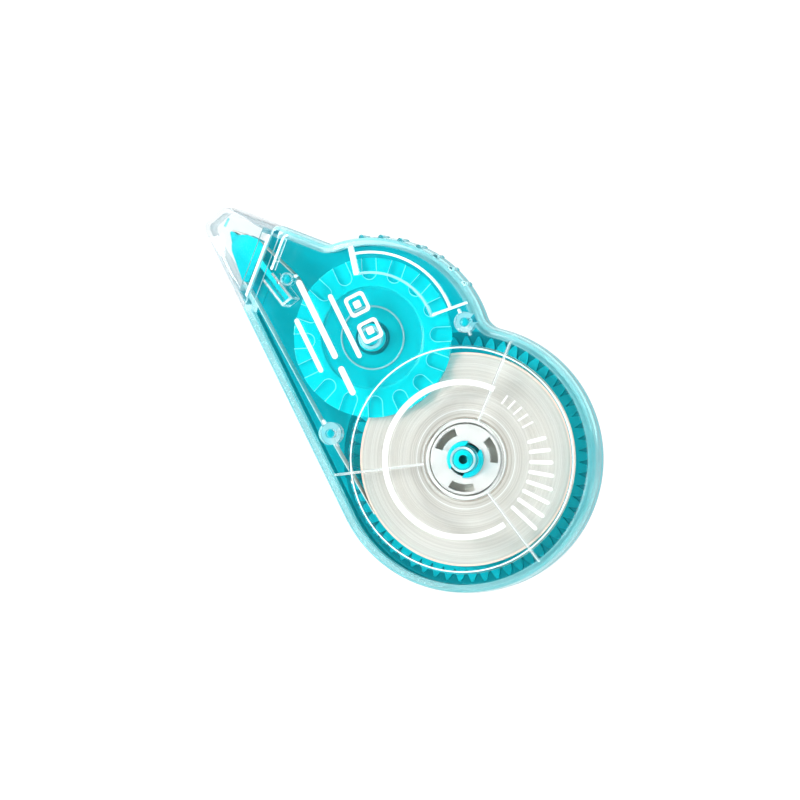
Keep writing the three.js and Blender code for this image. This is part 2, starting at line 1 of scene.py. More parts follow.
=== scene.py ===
"""Looks for the correction tape roller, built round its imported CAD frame.

Shapes are worked out in millimetres from the supply spindle's axis, then scaled to metres in the row's frame.
"""

import json
import math
import random

import bmesh
import bpy
from mathutils import Matrix, Vector

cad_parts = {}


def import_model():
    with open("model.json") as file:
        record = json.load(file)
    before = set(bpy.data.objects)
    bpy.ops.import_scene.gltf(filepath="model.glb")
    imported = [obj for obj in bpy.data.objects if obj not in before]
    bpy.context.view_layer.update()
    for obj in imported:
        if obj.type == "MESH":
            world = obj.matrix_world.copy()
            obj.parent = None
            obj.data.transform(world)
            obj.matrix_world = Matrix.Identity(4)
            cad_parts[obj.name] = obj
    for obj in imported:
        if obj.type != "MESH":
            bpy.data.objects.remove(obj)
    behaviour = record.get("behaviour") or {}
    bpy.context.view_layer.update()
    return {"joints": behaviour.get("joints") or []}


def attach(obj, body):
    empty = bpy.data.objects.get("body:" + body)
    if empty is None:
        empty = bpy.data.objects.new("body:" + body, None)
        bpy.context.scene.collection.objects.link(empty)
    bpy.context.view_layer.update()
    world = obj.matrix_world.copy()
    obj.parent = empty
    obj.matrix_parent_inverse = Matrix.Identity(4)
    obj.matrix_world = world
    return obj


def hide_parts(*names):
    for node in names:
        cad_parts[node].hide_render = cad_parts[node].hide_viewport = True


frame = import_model()


def vectors(*points):
    return [Vector(point) for point in points]


# ---- Driving sizes in millimetres, the same as the CAD's ----
DEG = math.pi / 180
MM = 0.001
JOINTS = {joint["name"]: joint for joint in frame["joints"]}
SUPPLY_AXIS = Vector(JOINTS["supply_spin"]["pos_m"][:2])
TAKE_UP_AXIS = Vector(JOINTS["take_up_spin"]["pos_m"][:2])
SPINDLE = Vector((0, 0))
TAKE_UP = (TAKE_UP_AXIS - SUPPLY_AXIS) / MM

LOBE_RADIUS = 27
GRIP_CENTRE = Vector((-28.3, 3.1))
GRIP_RADIUS = 23.5
NOSE_ANGLE = 21.3 * DEG
NOSE_UPPER_OFFSET = 30.4
NOSE_FRONT_OFFSET = 70.8
NOSE_FRONT_ANGLE = 173.5 * DEG
NOSE_CORNER_RADIUS = 2.4
WAIST_FILLET = 4
NOSE_FILLET = 3

WALL = 1.3
FLOOR_TOP = 1.4
PARTING = 5
LIP = 0.6
LIP_HEIGHT = 0.8
COVER_UNDERSIDE = 13.1
COVER_TOP = 14.5
WINDOW_FLAT = 14.88
WINDOW_TOP = 15
WINDOW_RADIUS = 22.9
GRIP_RIDGES = 7
RIDGE_RADIUS = 0.55
RIDGE_START = 78.8
RIDGE_PITCH = 9.7

MODULE = 0.8
SUPPLY_TEETH = 60
SUPPLY_ROOT, SUPPLY_TIP = 22.2, 24.8
PINION_TEETH = 17
PINION_ROOT, PINION_TIP = 5.6, 7.5
PRESSURE_ANGLE = 25 * DEG
BACKLASH = 0.1
GEAR_BOTTOM = 1.7
GEAR_TOP = 3.3
TAKE_UP_BEARING = math.atan2(TAKE_UP.y, TAKE_UP.x)

TAPE_BOTTOM = 3.5
TAPE_TOP = 8.5
TAPE_THICKNESS = 0.15
ROLL_RADIUS = 21.5
CORE_RADIUS = 8.2
WINDING_RADIUS = 6.8
REEL_HUB_RADIUS = 6.2
FLANGE_RADIUS = 16.1
FLANGE_BOTTOM = 8.9
FLANGE_TOP = 10.5

RIB_BOTTOM = 11.3
RIB_TOP = COVER_UNDERSIDE + 0.4
RIB_THICKNESS = 0.5
RADIAL_RIBS = (110.3, -10.7, -130.7)
RADIAL_RIB_END = LOBE_RADIUS - 0.7
COLLAR_RADIUS = 8.2
SPINDLE_BOSS = 2.6
PANEL_START = 62 * DEG
PANEL_END = 145 * DEG
PANEL_RADII = (12.8, 16.9)

# What stands on the back shell is rooted inside its floor.
FIXTURE_ROOT = 1
PIN_SHOULDER = 9.2
PIN_NECK = 0.75
PIN_TOP = 12
SPINDLE_RADIUS = 2.65
SPINDLE_BORE = 0.85
SPINDLE_SHOULDER = 8.6
SPINDLE_NECK = 2
SPINDLE_TOP = 12.6
TAKE_UP_SPINDLE_RADIUS = 1.5
TAKE_UP_SPINDLE_TOP = 12.2
WELL_INNER = 25.6
WELL_OUTER = 26.3
WELL_TOP = 2.9
WELL_ARCS = ((108, 149), (192, 231))

SLIT_BEARING = 99 * DEG
SLIT_BOTTOM = 5
FINGER_RADIUS = 3.25
FINGER_GAP = 2.9
HOOK_RADIUS = 3.75
HOOK_BOTTOM = 9.25
HOOK_TOP = 9.9
CLUTCH_RADIUS = 7.15
CLUTCH_BOTTOM = 8.4
CLUTCH_TOP = 9.15
CLUTCH_SLOTS = (176.8, 60.8, -55.2)
CLUTCH_SLOT_HALF = 25
NOTCHES = 16
NOTCH_INNER_RADIUS = 13.2
NOTCH_WIDTH = 2.8
NOTCH_LIP = 0.16
NOTCH_LEDGE = 0.15
NOTCH_FLOOR = FLANGE_BOTTOM + 0.7
RUNNING_GAP = 0.1
CONTACT_GAP = 0.1

CAP_EDGE = -52.3
CAP_REACH = CAP_EDGE - 0.15
CAP_WALL = 1.1
CAP_LIP = 0.5
CAP_SLOT = vectors((-67.35, 2), (-67.85, 3.8))
CAP_SLOT_WIDTH = 0.45
CAP_SLOT_FLOOR = 12.5
TONGUE_END = -54.6
TONGUE_INSET = 1.4
TONGUE_FLOOR = FLOOR_TOP + 0.05
MOUTH_INSET = TONGUE_INSET + CAP_WALL
CAVITY_START = CAP_EDGE + WALL
FAR = 200

# Centre, pin radius, radius of the cover's boss over the pin, direction of the boss's gussets.
RETURN_PIN = (Vector((-50.8, 2.7)), 1, 1.35, 62 * DEG)
FEED_PIN = (Vector((-23.4, -14.3)), 1, 2.3, -18 * DEG)
WAIST_PIN = (Vector((-18.3, 20.5)), 1, 2.1, -23 * DEG)
PINS = (RETURN_PIN, FEED_PIN, WAIST_PIN)

HEAD_PROFILE = vectors(
    (-66.4, 1.5), (-64.3, -0.1), (-57.6, -3.7), (-56.9, -3.2), (-58.2, 0.3),
    (-59.6, 3.7), (-60.6, 3.9), (-64.2, 2.9), (-64.7, 2.2), (-66.3, 1.9),
)
HEAD_CORNERS = [0.12, 0.5, 0.5, 0.5, 0.5, 0.6, 0.5, 0.3, 0.2, 0.12]
CHEEK_PROFILE = vectors(
    (-64.6, 0.1), (-63.6, -0.95), (-57.9, -4), (-56.7, -3.6), (-59.4, 4.1), (-60.7, 4.4), (-63.6, 3.5),
)
CHEEK_THICKNESS = 0.7
TAIL_START = Vector((-58.56, 1.26))
TAIL_END = Vector((-48.3, -0.5))
TAIL_WIDTH = 1.2
POCKET_START = 4.6
POCKET_BOTTOM = 4
POCKET_GAP = 0.25
POCKET_WALL = 0.5


# ---- Flat shapes ----
def polar(centre, radius, angle):
    return Vector((centre[0] + radius * math.cos(angle), centre[1] + radius * math.sin(angle)))


def arc(centre, radius, start, end, clockwise=False, steps=24):
    sweep = (end - start) % (2 * math.pi)
    if clockwise:
        sweep -= 2 * math.pi
    return [polar(centre, radius, start + sweep * i / steps) for i in range(steps + 1)]


def angle_to(start, end):
    return math.atan2(end.y - start.y, end.x - start.x)


def left_of(way):
    return Vector((-way.y, way.x))


def short_arc(centre, radius, start, end, steps):
    """The shorter way round the centre, from the direction of one point to that of another."""
    first = angle_to(centre, start)
    sweep = (angle_to(centre, end) - first + math.pi) % (2 * math.pi) - math.pi
    return [polar(centre, radius, first + sweep * i / steps) for i in range(steps + 1)]


def rounded(points, radii, steps=3):
    """A closed polygon with round corners. radii is one number, or one for each corner."""
    result = []
    count = len(points)
    for i, point in enumerate(points):
        radius = radii[i] if isinstance(radii, (list, tuple)) else radii
        back = points[i - 1] - point
        ahead = points[(i + 1) % count] - point
        half = back.angle(ahead) / 2
        if not radius or half > 88 * DEG:
            result.append(point)
            continue
        reach = min(radius / math.tan(half), 0.45 * back.length, 0.45 * ahead.length)
        radius = reach * math.tan(half)
        back.normalize()
        ahead.normalize()
        centre = point + (back + ahead).normalized() * (radius / math.sin(half))
        result += short_arc(centre, radius, point + back * reach, point + ahead * reach, steps)
    return result


def ring_sector(centre, inner, outer, start, end, steps=48):
    return arc(centre, outer, start, end, False, steps) + arc(centre, inner, end, start, True, steps)


def capsule(start, end, width, steps=8):
    heading = angle_to(start, end)
    quarter = math.pi / 2
    return (
        arc(end, width / 2, heading - quarter, heading + quarter, False, steps)
        + arc(start, width / 2, heading + quarter, heading + 3 * quarter, False, steps)
    )


# ---- Solids, in millimetres ----
def add_object(name, data):
    obj = bpy.data.objects.new(name, data)
    bpy.context.scene.collection.objects.link(obj)
    return obj


def mesh_object(bm, name="solid"):
    bmesh.ops.recalc_face_normals(bm, faces=bm.faces)
    mesh = bpy.data.meshes.new(name)
    bm.to_mesh(mesh)
    bm.free()
    return add_object(name, mesh)


def skin(rings, bevel=0.0, segments=2):
    """A closed solid through rings of equal length, lowest first. The bevel is on the two end faces."""
    bm = bmesh.new()
    made = [[bm.verts.new(p) for p in ring] for ring in rings]
    for lower, upper in zip(made, made[1:]):
        for i in range(len(lower)):
            j = (i + 1) % len(lower)
            bm.faces.new((lower[i], lower[j], upper[j], upper[i]))
    caps = bm.faces.new(made[0][::-1]), bm.faces.new(made[-1])
    if bevel:
        edges = [edge for cap in caps for edge in cap.edges]
        bmesh.ops.bevel(
            bm, geom=edges, offset=bevel, segments=segments, profile=0.5,
            affect="EDGES", clamp_overlap=True,
        )
    return mesh_object(bm)


def prism(points, bottom, top, bevel=0.0, segments=2):
    return skin([[(*p, height) for p in points] for height in (bottom, top)], bevel, segments)


def lathe(profile, centre=SPINDLE, sides=96):
    """Turns a closed polygon of (radius, height) points round a vertical axis."""
    bm = bmesh.new()
    columns = []
    poles = {}
    for side in range(sides):
        turn = 2 * math.pi * side / sides
        column = []
        for i, (radius, height) in enumerate(profile):
            vert = poles.get(i) or bm.verts.new((*polar(centre, radius, turn), height))
            if not radius:
                poles[i] = vert
            column.append(vert)
        columns.append(column)
    for here, there in zip(columns, columns[1:] + columns[:1]):
        for i in range(len(profile)):
            j = (i + 1) % len(profile)
            corners = list(dict.fromkeys((here[i], there[i], there[j], here[j])))
            if len(corners) > 2:
                bm.faces.new(corners)
    return mesh_object(bm)


def turned(profile, corners, centre=SPINDLE, sides=96):
    """A lathe shape with the profile's corners rounded."""
    return lathe(rounded(vectors(*profile), corners), centre, sides)


def disc(centre, radius, bottom, top, edge=0.0, sides=64):
    """A round bar, with rounded rims if edge is given."""
    profile = ((0, bottom), (radius, bottom), (radius, top), (0, top))
    return turned(profile, [0, edge, edge, 0], centre, sides)


def tube(centre, inner, outer, bottom, top, edge=0.0, sides=64):
    return turned(((inner, bottom), (outer, bottom), (outer, top), (inner, top)), edge, centre, sides)


def bar(start, end, width, bottom, top, bevel=0.0):
    side = left_of(end - start).normalized() * width / 2
    return prism([start - side, end - side, end + side, start + side], bottom, top, bevel)


def level_slab(bottom, top):
    """Everything between two heights."""
    return bar(Vector((-FAR, 0)), Vector((FAR, 0)), 2 * FAR, bottom, top)


def merged(solids):
    """Solids that don't touch, as one mesh."""
    bm = bmesh.new()
    for solid in solids:
        bm.from_mesh(solid.data)
        bpy.data.meshes.remove(solid.data)
    return mesh_object(bm)


def combine(first, operation, others):
    for other in others:
        modifier = first.modifiers.new("boolean", "BOOLEAN")
        modifier.operation = operation
        modifier.solver = "MANIFOLD"
        modifier.object = other
        bpy.context.view_layer.update()
        graph = bpy.context.evaluated_depsgraph_get()
        made = bpy.data.meshes.new_from_object(first.evaluated_get(graph))
        first.modifiers.clear()
        spent, first.data = first.data, made
        bpy.data.meshes.remove(spent)
        bpy.data.meshes.remove(other.data)
    return first


def join(first, *others):
    return combine(first, "UNION", others)


def cut(first, *others):
    return combine(first, "DIFFERENCE", others)


def keep(first, *others):
    return combine(first, "INTERSECT", others)


# ---- The case outline, as straight sides and tangent arcs ----
class Side:
    """A straight side: the direction of its outward normal, and its distance from the spindle."""

    def __init__(self, angle, offset):
        self.angle = angle
        self.normal = Vector((math.cos(angle), math.sin(angle)))
        self.offset = offset


LOWER_SIDE = Side(-math.pi / 2 - NOSE_ANGLE, LOBE_RADIUS)
UPPER_SIDE = Side(math.pi / 2 + NOSE_ANGLE, NOSE_UPPER_OFFSET)
NOSE_FRONT = Side(NOSE_FRONT_ANGLE, NOSE_FRONT_OFFSET)
NOSE_ALONG = Vector((math.cos(NOSE_ANGLE), math.sin(NOSE_ANGLE)))
NOSE_ACROSS = left_of(NOSE_ALONG)


def line_meeting(a, b, inset):
    """Where two sides cross once both are moved inwards."""
    across = a.normal.cross(b.normal)
    reach_a = a.offset - inset
    reach_b = b.offset - inset
    return Vector((
        (reach_a * b.normal.y - reach_b * a.normal.y) / across,
        (reach_b * a.normal.x - reach_a * b.normal.x) / across,
    ))


def circle_meeting(a, radius_a, b, radius_b):
    """Where two circles cross, on the right hand seen from a to b."""
    between = b - a
    distance = between.length
    along = (distance**2 + radius_a**2 - radius_b**2) / (2 * distance)
    beside = math.sqrt(radius_a**2 - along**2)
    direction = between.normalized()
    return a + direction * along + Vector((direction.y, -direction.x)) * beside


def nose_fillet_centre():
    normal = UPPER_SIDE.normal
    reach = UPPER_SIDE.offset + NOSE_FILLET - normal.dot(GRIP_CENTRE)
    beside = math.sqrt((GRIP_RADIUS + NOSE_FILLET) ** 2 - reach**2)
    return GRIP_CENTRE + normal * reach + left_of(normal) * beside


WAIST_CENTRE = circle_meeting(
    SPINDLE, LOBE_RADIUS + WAIST_FILLET, GRIP_CENTRE, GRIP_RADIUS + WAIST_FILLET
)
NOSE_FILLET_CENTRE = nose_fillet_centre()
UPPER_CORNER = line_meeting(UPPER_SIDE, NOSE_FRONT, NOSE_CORNER_RADIUS)
LOWER_CORNER = line_meeting(NOSE_FRONT, LOWER_SIDE, NOSE_CORNER_RADIUS)


def outline(inset):
    """The case seen from above, moved inwards by inset."""
    corner = max(NOSE_CORNER_RADIUS - inset, 0.1)
    to_waist = angle_to(SPINDLE, WAIST_CENTRE)
    grip_to_waist = angle_to(GRIP_CENTRE, WAIST_CENTRE)
    grip_to_nose = angle_to(GRIP_CENTRE, NOSE_FILLET_CENTRE)
    waist = arc(
        WAIST_CENTRE, WAIST_FILLET + inset, to_waist + math.pi, grip_to_waist + math.pi, True, 14
    )
    fillet = arc(
        NOSE_FILLET_CENTRE, NOSE_FILLET + inset, grip_to_nose + math.pi, UPPER_SIDE.angle + math.pi,
        True, 10,
    )
    return (
        arc(SPINDLE, LOBE_RADIUS - inset, LOWER_SIDE.angle, to_waist, False, 132)
        + waist[1:-1]
        + arc(GRIP_CENTRE, GRIP_RADIUS - inset, grip_to_waist, grip_to_nose, False, 64)
        + fillet[1:]
        + arc(UPPER_CORNER, corner, UPPER_SIDE.angle, NOSE_FRONT.angle, False, 10)
        + arc(LOWER_CORNER, corner, NOSE_FRONT.angle, LOWER_SIDE.angle, False, 10)
    )


def loft(*levels):
    """The case's outline carried up through levels of (height, inset)."""
    return skin([[(*p, height) for p in outline(inset)] for height, inset in levels])


def nose_slab(start, end):
    """A slab across the nose, between two distances along its upper side."""
    return bar(NOSE_ALONG * start, NOSE_ALONG * end, 2 * FAR, -50, 50)


BACK_LEVELS = ((0, 1.1), (0.08, 0.72), (0.28, 0.38), (0.62, 0.12), (1.1, 0), (PARTING, 0))
FRONT_LEVELS = (
    (PARTING, 0), (11.8, 0.3), (12.6, 0.42), (13.2, 0.64), (13.7, 0.92), (14.1, 1.28),
    (14.4, 1.86), (COVER_TOP, 2.2),
)


# ---- Case ----
def grip_ridges(bottom, top):
    ridges = []
    for i in range(GRIP_RIDGES):
        centre = polar(GRIP_CENTRE, GRIP_RADIUS - 0.2, (RIDGE_START + RIDGE_PITCH * i) * DEG)
        ridges.append(disc(centre, RIDGE_RADIUS, bottom, top, 0.2, 24))
    return ridges


def tongue(bottom, top):
    """The stub inside the cap's rear end."""
    return keep(loft((bottom, TONGUE_INSET), (top, TONGUE_INSET)), nose_slab(TONGUE_END, CAP_EDGE + 0.1))


def mouth(bottom, top):
    """The way through the tongue."""
    way = nose_slab(TONGUE_END - 1, CAVITY_START + 0.1)
    return keep(loft((bottom, MOUTH_INSET), (top, MOUTH_INSET)), way)


def stepped_post(centre, bore, radius, shoulder, neck, top, corners, sides):
    profile = (
        (bore, FIXTURE_ROOT), (radius, FIXTURE_ROOT), (radius, shoulder),
        (neck, shoulder), (neck, top), (bore, top),
    )
    return turned(profile, corners, centre, sides)


def back_fixtures():
    """Pins, both spindles with the washers at their feet, and the gear's well wall."""
    corners = [0, 0, 0.1, 0, 0.25, 0]
    pins = [
        stepped_post(centre, 0, radius, PIN_SHOULDER, PIN_NECK, PIN_TOP, corners, 32)
        for centre, radius, _, _ in PINS
    ]
    washer_top = GEAR_BOTTOM - 0.05
    posts = [
        stepped_post(
            SPINDLE, SPINDLE_BORE, SPINDLE_RADIUS, SPINDLE_SHOULDER, SPINDLE_NECK, SPINDLE_TOP,
            [0, 0, 0.12, 0, 0.3, 0.12], 64,
        ),
        tube(SPINDLE, SPINDLE_RADIUS - 0.5, 4.4, FIXTURE_ROOT, washer_top),
        disc(TAKE_UP, TAKE_UP_SPINDLE_RADIUS, FIXTURE_ROOT, TAKE_UP_SPINDLE_TOP, 0.3),
        tube(TAKE_UP, 1, 2.6, FIXTURE_ROOT, washer_top),
    ]
    well = [ring_sector(SPINDLE, WELL_INNER, WELL_OUTER, a * DEG, b * DEG) for a, b in WELL_ARCS]
    return pins + posts + [prism(shape, FIXTURE_ROOT, WELL_TOP, 0.12) for shape in well]


def back_shell():
    lip_top = PARTING + LIP_HEIGHT
    lip = loft((PARTING - 1, LIP + 0.1), (PARTING + 0.6, LIP + 0.1), (lip_top, 0.85))
    shell = join(loft(*BACK_LEVELS), *grip_ridges(2, PARTING + 0.001), lip)
    shell = keep(shell, nose_slab(CAP_EDGE, FAR), level_slab(-1, lip_top))
    shell = join(shell, tongue(TONGUE_FLOOR, PARTING))
    cavity = keep(
        loft(
            (FLOOR_TOP, WALL + 0.4), (FLOOR_TOP + 0.12, WALL + 0.12), (FLOOR_TOP + 0.4, WALL),
            (PARTING + 2, WALL),
        ),
        nose_slab(CAVITY_START, FAR),
    )
    shell = cut(shell, cavity, mouth(TONGUE_FLOOR + CAP_WALL, PARTING + 2))
    shell = join(shell, *back_fixtures())
    return cut(shell, disc(SPINDLE, SPINDLE_BORE, 4, 14, 0, 32))


def head_pocket():
    """Three walls round the end of the applicator's tail."""
    direction = (TAIL_END - TAIL_START).normalized()
    side = left_of(direction)
    reach = TAIL_WIDTH / 2 + POCKET_GAP + POCKET_WALL / 2
    start = TAIL_START + direction * POCKET_START
    end = TAIL_END + direction * (POCKET_GAP + POCKET_WALL)
    stop = end - direction * POCKET_WALL / 2
    outer = reach + POCKET_WALL / 2
    walls = [(start + side * across, end + side * across) for across in (reach, -reach)]
    walls.append((stop - side * outer, stop + side * outer))
    return [bar(*ends, POCKET_WALL, POCKET_BOTTOM, RIB_TOP, 0.1) for ends in walls]


def cover_rib(start, end, bevel=0.1, thickness=RIB_THICKNESS, bottom=RIB_BOTTOM):
    return bar(start, end, thickness, bottom, RIB_TOP, bevel)


def panel_ribs():
    """The frame of two arcs and two ends that shows over the take-up reel."""
    inner = PANEL_RADII[0] + 0.1
    arcs = [
        prism(
            ring_sector(TAKE_UP, radius, radius + RIB_THICKNESS, PANEL_START, PANEL_END),
            RIB_BOTTOM, RIB_TOP, 0.15,
        )
        for radius in PANEL_RADII
    ]
    start = [polar(TAKE_UP, radius, PANEL_START) for radius in (inner, 21)]
    end = [polar(TAKE_UP, radius, PANEL_END) for radius in (inner, 20)]
    return arcs + [cover_rib(*start, 0.14), cover_rib(*end, 0.12, 2 * RIB_THICKNESS)]


def cover_ribs():
    ribs = []
    for angle in RADIAL_RIBS:
        ends = [polar(SPINDLE, radius, angle * DEG) for radius in (COLLAR_RADIUS - 0.2, RADIAL_RIB_END)]
        ribs.append(cover_rib(*ends, 0.15))
    ribs.append(tube(SPINDLE, COLLAR_RADIUS - RIB_THICKNESS, COLLAR_RADIUS, RIB_BOTTOM, RIB_TOP))
    ribs.append(tube(SPINDLE, 2.15, SPINDLE_BOSS, SPINDLE_SHOULDER + 0.3, RIB_TOP, 0.1))
    ribs.append(tube(TAKE_UP, 1.7, 2.4, RIB_BOTTOM, RIB_TOP, 0.15))
    for centre, _, boss, gusset in PINS:
        ribs.append(tube(centre, 0.95, boss, PIN_SHOULDER + 0.2, RIB_TOP, 0.12, 48))
        for turn in (gusset, gusset + math.pi):
            ribs.append(cover_rib(polar(centre, boss - 0.2, turn), polar(centre, boss + 0.8, turn)))
    ribs += panel_ribs()
    foot = NOSE_ALONG * (CAP_EDGE + 2.3)
    ribs.append(cover_rib(foot + NOSE_ACROSS * 21.6, foot + NOSE_ACROSS * 29.6, bottom=9.3))
    return ribs


def window():
    """The raised round window, with a chamfered rim."""
    rim = [
        (0, COVER_TOP - 0.3), (WINDOW_RADIUS, COVER_TOP - 0.3), (WINDOW_RADIUS, COVER_TOP + 0.12),
        (WINDOW_RADIUS - 0.35, WINDOW_TOP), (WINDOW_RADIUS - 0.6, WINDOW_TOP),
        (WINDOW_RADIUS - 0.75, WINDOW_FLAT), (0, WINDOW_FLAT),
    ]
    return turned(rim, [0, 0, 0.1, 0.1, 0.1, 0.06, 0], SPINDLE, 192)


def front_shell():
    shell = join(loft(*FRONT_LEVELS), *grip_ridges(PARTING - 0.001, 12.2), window())
    shell = keep(shell, nose_slab(CAP_EDGE, FAR), level_slab(PARTING, 20))
    shell = join(shell, tongue(PARTING, COVER_UNDERSIDE))
    rebate = keep(loft((PARTING - 1, LIP), (PARTING + LIP_HEIGHT + 0.1, LIP)), nose_slab(CAP_EDGE - 0.1, FAR))
    cavity = keep(
        loft((PARTING - 1, WALL), (12.4, WALL + 0.45), (12.9, WALL + 0.65), (COVER_UNDERSIDE, WALL + 1)),
        nose_slab(CAVITY_START, FAR),
    )
    shell = cut(shell, rebate, cavity, mouth(PARTING - 1, COVER_UNDERSIDE - CAP_WALL))
    ribs = join(*cover_ribs(), *head_pocket())
    room = keep(loft((2, 0.8), (COVER_TOP - 0.5, 1.6)), nose_slab(TONGUE_END - 1, FAR))
    return join(shell, keep(ribs, room))


def cap_taper(raise_by, drop_by):
    """The nose's side view, thinner towards the tip, as a prism across the case."""
    low, high = raise_by, COVER_TOP - drop_by
    tip, full = -71, -62
    tip_low, tip_high = low + 1.2, high - 2.2
    made = prism(
        vectors(
            (-FAR, tip_low), (tip, tip_low), (full, low), (0, low),
            (0, high), (full, high), (tip, tip_high), (-FAR, tip_high),
        ),
        -FAR, FAR,
    )
    made.data.transform(Matrix.Rotation(math.pi / 2, 4, "X"))
    return made


def tip_cap():
    levels = BACK_LEVELS[:-1] + FRONT_LEVELS[1:]
    outer = keep(loft(*levels), cap_taper(0, 0))
    inner = keep(
        loft(
            (1.25, CAP_WALL + 0.3), (1.6, CAP_WALL), (12.8, CAP_WALL + 0.2), (COVER_TOP - 1.2, CAP_WALL + 0.6)
        ),
        cap_taper(1.2, 1.2),
    )
    cap = keep(cut(outer, inner), nose_slab(-FAR, CAP_REACH))
    lip = keep(
        loft((COVER_TOP - 0.3, 2.1), (COVER_TOP + 0.03, 2.3)), nose_slab(CAP_REACH - CAP_LIP, CAP_REACH)
    )
    cap = join(cap, lip)
    return cut(cap, bar(*CAP_SLOT, CAP_SLOT_WIDTH, CAP_SLOT_FLOOR, WINDOW_TOP))


# ---- Gears, with involute flanks ----
def involute(angle):
    return math.tan(angle) - angle


def gear_points(teeth, root, tip, phase):
    """A gear seen from above, with the middle of one tooth at the angle phase."""
    pitch = MODULE * teeth / 2
    base = pitch * math.cos(PRESSURE_ANGLE)
    half_at_pitch = math.pi / (2 * teeth) - BACKLASH / (4 * pitch)
    widest = 0.9 * math.pi / teeth

    def half(radius):
        flank = half_at_pitch + involute(PRESSURE_ANGLE) - involute(math.acos(min(base / radius, 1)))
        return min(flank, widest)

    levels = [root + (tip - root) * share for share in (0, 0.2, 0.4, 0.6, 0.8, 1)]
    corner = [0.18, 0, 0, 0, 0, 0.12]
    points, radii = [], []
    for tooth in range(teeth):
        centre = phase + 2 * math.pi * tooth / teeth
        points += [polar(SPINDLE, r, centre - half(r)) for r in levels]
        points += [polar(SPINDLE, r, centre + half(r)) for r in reversed(levels)]
        radii += corner + corner[::-1]
    return rounded(points, radii)


def supply_gear():
    teeth = gear_points(SUPPLY_TEETH, SUPPLY_ROOT, SUPPLY_TIP, TAKE_UP_BEARING)
    gear = prism(teeth, GEAR_BOTTOM, GEAR_TOP, 0.08, 1)
    hub_profile = [
        (0, GEAR_BOTTOM), (FINGER_RADIUS, GEAR_BOTTOM), (FINGER_RADIUS, HOOK_BOTTOM),
        (HOOK_RADIUS, HOOK_BOTTOM), (HOOK_RADIUS, HOOK_BOTTOM + 0.2), (HOOK_RADIUS - 0.3, HOOK_TOP),
        (0, HOOK_TOP),
    ]
    gear = join(gear, turned(hub_profile, [0, 0, 0, 0.08, 0.08, 0.12, 0], SPINDLE, 72))
    ends = polar(SPINDLE, -6, SLIT_BEARING), polar(SPINDLE, 6, SLIT_BEARING)
    slit = bar(*ends, FINGER_GAP, SLIT_BOTTOM, 12)
    return cut(gear, disc(SPINDLE, SPINDLE_RADIUS + RUNNING_GAP, 0, 20), slit)


def friction_ring():
    """A round rubber ring, squeezed between the gear and the core."""
    profile = [polar((5.6, GEAR_TOP + 0.9), 0.85, i * math.pi / 8) for i in range(16)]
    return lathe(profile, SPINDLE, 72)


def tape_core():
    core = tube(SPINDLE, CORE_RADIUS - 0.8, CORE_RADIUS, TAPE_BOTTOM, TAPE_TOP, 0.12, 96)
    return join(core, tube(SPINDLE, FINGER_RADIUS + 0.2, CORE_RADIUS - 0.2, 5.15, 6.15, 0.08, 96))


def tape_roll():
    """The wound tape: each few turns stand a hair higher or lower than the next."""
    draw = random.Random(5)
    inner, outer = CORE_RADIUS + 0.05, ROLL_RADIUS
    radii, radius = [], inner + 0.1
    while radius < outer - 0.12:
        radii.append(radius)
        radius += draw.uniform(0.16, 0.34)
    heights = [draw.uniform(-0.035, 0) for _ in radii]
    radii = [inner, *radii, outer]
    heights = [-0.05, *heights, -0.05]
    top = [(spot, TAPE_TOP + height) for spot, height in zip(radii, heights)]
    bottom = [(spot, TAPE_BOTTOM - height) for spot, height in zip(radii, heights)]
    return lathe(bottom + top[::-1], SPINDLE, 144)


def clutch_disc():
    """A slotted plate under the hooks, with a skirt that presses on the core."""
    inner, skirt, foot = FINGER_RADIUS + 0.15, CLUTCH_RADIUS - 0.6, 6.25
    profile = [
        (inner, CLUTCH_BOTTOM), (skirt, CLUTCH_BOTTOM), (skirt, foot),
        (CLUTCH_RADIUS, foot), (CLUTCH_RADIUS, CLUTCH_TOP), (inner, CLUTCH_TOP),
    ]
    slots = []
    for middle in CLUTCH_SLOTS:
        start, end = (middle - CLUTCH_SLOT_HALF) * DEG, (middle + CLUTCH_SLOT_HALF) * DEG
        slots.append(prism(ring_sector(SPINDLE, 5, 6.6, start, end, 16), 8, 10))
    return cut(turned(profile, [0.06, 0, 0.08, 0.08, 0.2, 0.1]), *slots)


# ---- Take-up reel, built round its own axis ----
def take_up_pinion():
    phase = TAKE_UP_BEARING + math.pi + math.pi / PINION_TEETH
    teeth = gear_points(PINION_TEETH, PINION_ROOT, PINION_TIP, phase)
    gear = prism(teeth, GEAR_BOTTOM, GEAR_TOP, 0.08, 1)
    gear = join(gear, tube(SPINDLE, 4.2, 5.2, GEAR_TOP - 0.2, 5.6))
    return cut(gear, disc(SPINDLE, TAKE_UP_SPINDLE_RADIUS + RUNNING_GAP, 0, 20))


